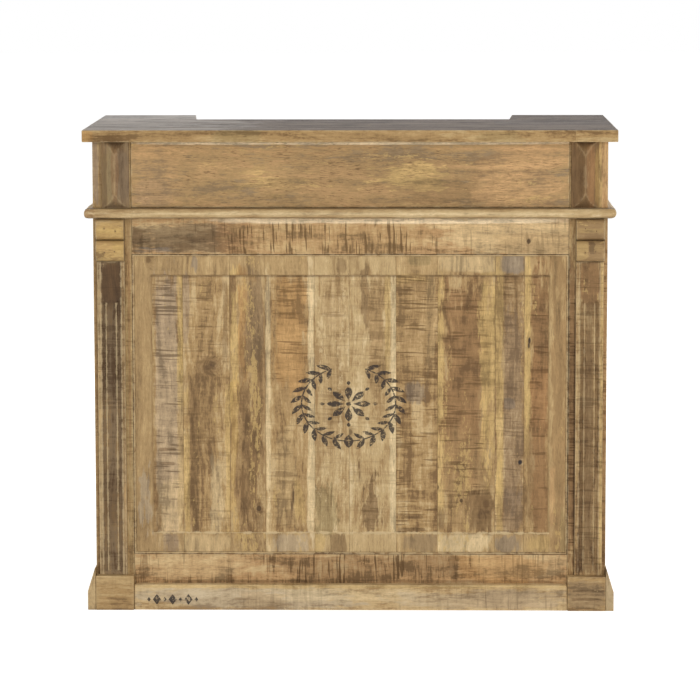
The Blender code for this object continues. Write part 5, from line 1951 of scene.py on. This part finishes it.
@dataclass
class Knob:
    """A turned iron knob: collar, neck and a flattened ball for a head."""

    collar: float = 0.0105
    collar_height: float = 0.002
    neck: float = 0.007
    neck_start: float = 0.0045
    neck_end: float = 0.01
    radius: float = 0.015
    length: float = 0.024
    steps: int = 22
    sides: int = 48

    def profile(self) -> Array:
        """The knob's half section.

        Returns:
            Points as (radius, distance), from the foot to the tip.
        """
        rim, top = self.collar - 0.0006, self.collar_height
        foot = [(0.0004, 0.0), (self.collar, 0.0), (self.collar, top * 0.7), (rim, top)]
        turns = np.linspace(0.0, math.pi / 2, 6)[1:]
        drop, rise = (rim - self.neck) * (1 - np.sin(turns)), (self.neck_start - top) * (1 - np.cos(turns))
        middle, reach = (self.neck_end + self.length) / 2, (self.length - self.neck_end) / 2
        arc = np.linspace(-math.acos(self.neck / self.radius), math.pi / 2 - 0.03, self.steps)
        head = np.stack([self.radius * np.cos(arc), middle + reach * np.sin(arc)], axis=1)
        return np.concatenate([foot, np.stack([self.neck + drop, top + rise], axis=1), head])

    def build(self, node: str, body: str, iron: bpy.types.Material) -> None:
        """Makes the knob in a node's place.

        Args:
            node: the knob's node.
            body: the body it rides on.
            iron: its material.
        """
        low, high = node_box(node)
        points, faces = turned(self.profile(), self.sides)
        centre = np.array([(low[0] + high[0]) / 2, low[1], (low[2] + high[2]) / 2])
        add_piece(f"{node}_turned", points + centre, faces[:, ::-1], iron, body, [node])


@dataclass
class Drawers:
    """The two drawers: front, box of four boards, and knob."""

    iron: bpy.types.Material
    side: float = 0.012
    bottom: float = 0.006
    joint: float = 0.00015
    front: Timber = Timber(T.BARK, T.PEACH, T.STRAW, T.OCHRE, 0.2, 0.6, 0.2, 1.4, 0.52, 0.6)
    box: Timber = Timber(T.TAN, T.STRAW, T.PALE_STRAW, T.PALE_STRAW, 0.1, 0.4, 0.05, 1.4, 0.6)

    def build(self) -> None:
        """Makes both drawers."""
        for side in SIDES:
            front, node, body = f"drawer_front_{side}", f"drawer_box_{side}", f"drawer_{side}"
            node_board(front, self.front, Grain.ALONG_X, "drawer_wood", body=body, arris=0.0022, rub=0.4)
            low, high = node_box(node)
            wall = self.side
            x = (low[0] + wall + self.joint, high[0] - wall - self.joint)
            _, y, z = node_spans(node)
            floor = (low[2], low[2] + self.bottom)
            for part, *spans, grain in (
                ("side_a", (low[0], low[0] + wall), y, z, Grain.ALONG_Y),
                ("side_b", (high[0] - wall, high[0]), y, z, Grain.ALONG_Y),
                ("back", x, (low[1], low[1] + wall), z, Grain.ALONG_X),
                ("bottom", x, (low[1] + wall + self.joint, high[1]), floor, Grain.ALONG_X),
            ):
                name = f"drawer_{side}_{part}"
                Board(name, *spans, self.box, grain, node, "inner_wood", body=body, arris=0.0008).build()
            Knob().build(f"drawer_knob_{side}", body, self.iron)


@dataclass
class Doors:
    """The two doors: stiles, rails, a panel of three planks, knob, and their hinges' screws."""

    iron: bpy.types.Material
    steel: bpy.types.Material
    frame_width: float = 0.062
    joint: float = 0.00015
    leaf: float = 0.0018
    screw_inset: float = 0.012
    screw_pitch: float = 0.02
    screw: tuple[Span, ...] = ((0.0042, 0.0), (0.004, 0.0003), (0.003, 0.0006), (0.0003, 0.0008))
    frame_wood: Timber = Timber(T.BARK, T.PEACH, T.STRAW, T.OCHRE, 0.2, 0.4, 0.25, 1.3, 0.54, 0.6)
    panel_woods: tuple[Timber, ...] = (
        Timber(T.BARK, T.TAN, T.STRAW, T.STRAW, 0.15, 0.5, 0.7, 1.2),
        Timber(T.UMBER, T.HONEY, T.STRAW, T.OCHRE, 0.3, 0.7, 0.45, 1.4),
        Timber(T.BARK, T.GREY_BROWN, T.TAN, T.STRAW, 0.1, 0.4, 0.8, 1.1),
    )

    def build(self) -> None:
        """Makes both doors."""
        for side in SIDES:
            self.build_door(side)
            Knob().build(f"door_knob_{side}", f"door_{side}", self.iron)
            for where in ("lower", "upper"):
                self.build_hinge(side, where)

    def build_door(self, side: str) -> None:
        """One door's four frame boards and three panel planks.

        Args:
            side: left or right.
        """
        node, body = f"door_frame_{side}", f"door_{side}"
        low, high = node_box(node)
        wide = self.frame_width
        x = (low[0] + wide + self.joint, high[0] - wide - self.joint)
        _, y, z = node_spans(node)
        for part, *spans, grain in (
            ("stile_a", (low[0], low[0] + wide), y, z, Grain.ALONG_Z),
            ("stile_b", (high[0] - wide, high[0]), y, z, Grain.ALONG_Z),
            ("rail_lower", x, y, (low[2], low[2] + wide), Grain.ALONG_X),
            ("rail_upper", x, y, (high[2] - wide, high[2]), Grain.ALONG_X),
        ):
            name = f"door_{side}_{part}"
            Board(name, *spans, self.frame_wood, grain, node, "drawer_wood", body=body).build()
        node = f"door_panel_{side}"
        x, y, z = node_spans(node)
        count = len(self.panel_woods)
        seams = np.linspace(*x, count + 1)
        for number, (start, end) in enumerate(zip(seams, seams[1:]), start=1):
            Board(
                f"door_{side}_plank_{number}",
                (start + self.joint * (number > 1), end - self.joint * (number < count)), y, z,
                self.panel_woods[(number + (side == "right")) % count], Grain.ALONG_Z, node, "inner_wood",
                body=body, arris=0.0009, step=(0.01, 0.02, 0.01), rub=0.15,
            ).build()

    def build_hinge(self, side: str, where: str) -> None:
        """Dresses a hinge's leaves and gives each leaf three countersunk screws.

        Args:
            side: left or right.
            where: lower or upper.
        """
        sign, inset = SIDES[side], self.screw_inset
        screw, faces = turned(np.array(self.screw), 20)
        for kind, body in (("wall", BODY), ("door", f"door_{side}")):
            node = f"hinge_{kind}_leaf_{side}_{where}"
            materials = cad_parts[node].data.materials
            materials.clear()
            materials.append(self.steel)
            low, high = node_box(node)
            if kind == "wall":
                head = np.stack([-sign * screw[:, 1], screw[:, 0], screw[:, 2]], axis=1)
                foot = (low[0] + self.leaf if sign < 0 else high[0] - self.leaf, high[1] - inset)
            else:
                head = screw
                foot = (high[0] - inset if sign < 0 else low[0] + inset, low[1] + self.leaf)
            levels = (low[2] + high[2]) / 2 + self.screw_pitch * np.array([-1, 0, 1])
            points = np.concatenate([head + np.array([*foot, level]) for level in levels])
            each = faces if kind == "wall" and sign > 0 else faces[:, ::-1]
            many = np.concatenate([each + len(screw) * number for number in range(len(levels))])
            name = f"hinge_screws_{kind}_{side}_{where}"
            add_piece(name, points, many, self.steel, body, [])


@dataclass
class Studio:
    """The pale floor, soft light and the photograph's camera."""

    camera_at: Triple = (0.1309, -7.2148, 1.5565)
    yaw: float = 1.076
    pitch: float = -6.304
    roll: float = -0.097
    focal_pixels: float = 3111.7
    picture: float = 700.0
    sensor: float = 36.0
    lift_pixels: float = 84.0
    world_strength: float = 0.42
    floor_reach: float = 30.0
    floor_glow: float = 0.7
    lamp_side: float = 3.0

    def build(self) -> None:
        """Makes the camera, world, lamps and floor."""
        self.build_camera()
        self.build_world()
        # Each lamp's name, place, turn in degrees and power in watts.
        for name, at, turn, power in (
            ("key", (1.2, -5.0, 1.9), (83.0, 0.0, 13.5), 124.0),
            ("fill", (-3.4, -3.8, 1.2), (86.0, 0.0, -42.0), 34.0),
            ("back", (0.8, 4.6, 2.6), (-70.0, 0.0, 8.0), 96.0),
            ("left", (-4.8, 1.2, 1.6), (84.0, 0.0, -98.0), 62.0),
            ("right", (4.8, 1.2, 1.6), (84.0, 0.0, 98.0), 74.0),
        ):
            data = bpy.data.lights.new(name, "AREA")
            data.size, data.energy = self.lamp_side, power
            lamp = self.show(bpy.data.objects.new(name, data))
            lamp.location = at
            lamp.rotation_euler = [math.radians(angle) for angle in turn]
            lamp.visible_glossy = False
        self.build_floor()
        bpy.context.scene.view_settings.view_transform = "Standard"

    def show(self, thing: bpy.types.Object) -> bpy.types.Object:
        """Puts an object in the scene and gives it back."""
        bpy.context.scene.collection.objects.link(thing)
        return thing

    def build_camera(self) -> None:
        """The camera: its turn is yaw round Z, then 90 degrees plus pitch, then roll."""
        data = bpy.data.cameras.new("camera")
        data.sensor_width = self.sensor
        data.lens = self.focal_pixels * self.sensor / self.picture
        data.shift_y = -self.lift_pixels / self.picture
        camera = self.show(bpy.data.objects.new("camera", data))
        camera.location = self.camera_at
        aim = Euler((math.radians(90 + self.pitch), 0.0, math.radians(self.yaw)), "XYZ").to_matrix()
        roll = Euler((0.0, 0.0, math.radians(self.roll)), "XYZ").to_matrix()
        camera.rotation_euler = (aim @ roll).to_euler()
        bpy.context.scene.camera = camera

    def build_world(self) -> None:
        """A world that lights softly, and is white to the camera, gloss and glass."""
        world = bpy.data.worlds.new("studio")
        world.use_nodes = True
        graph = Graph(world.node_tree)
        strength = graph.seen() * (1.0 - self.world_strength) + self.world_strength
        graph.fill(world.node_tree.nodes["Background"], Color=(1.0, 1.0, 1.0, 1.0), Strength=strength)
        bpy.context.scene.world = world

    def build_floor(self) -> None:
        """A wide pale floor that takes a faint shadow and is white elsewhere."""
        reach = self.floor_reach
        mesh = bpy.data.meshes.new("floor")
        corners = [(-reach, -reach, 0.0), (reach, -reach, 0.0), (reach, reach, 0.0), (-reach, reach, 0.0)]
        mesh.from_pydata(corners, [], [(0, 1, 2, 3)])
        floor = self.show(bpy.data.objects.new("floor", mesh))
        material, graph, shader = new_material("floor_paint")
        shader.inputs["Base Color"].default_value = (0.82, 0.82, 0.82, 1.0)
        shader.inputs["Roughness"].default_value = 0.9
        shader.inputs["Specular IOR Level"].default_value = 0.0
        shader.inputs["Emission Color"].default_value = (1.0, 1.0, 1.0, 1.0)
        graph.fill(shader, Emission_Strength=graph.seen() * self.floor_glow)
        mesh.materials.append(material)


def main() -> None:
    """Builds the studio and every sub-assembly in order."""
    logging.basicConfig(level=logging.INFO)
    Studio().build()
    iron, steel = metal_material(MetalKind.IRON), metal_material(MetalKind.STEEL)
    for assembly in (
        FrontPanel(), FrontFrame(), Moulding(), CarvedBlocks(), Corbels(), Pilasters(), Plinth(), BarTop(),
        CabinetSides(), Interior(), Drawers(iron), Doors(iron, steel),
    ):
        assembly.build()
        log.info("%s: built", type(assembly).__name__)


if __name__ == "__main__":
    main()
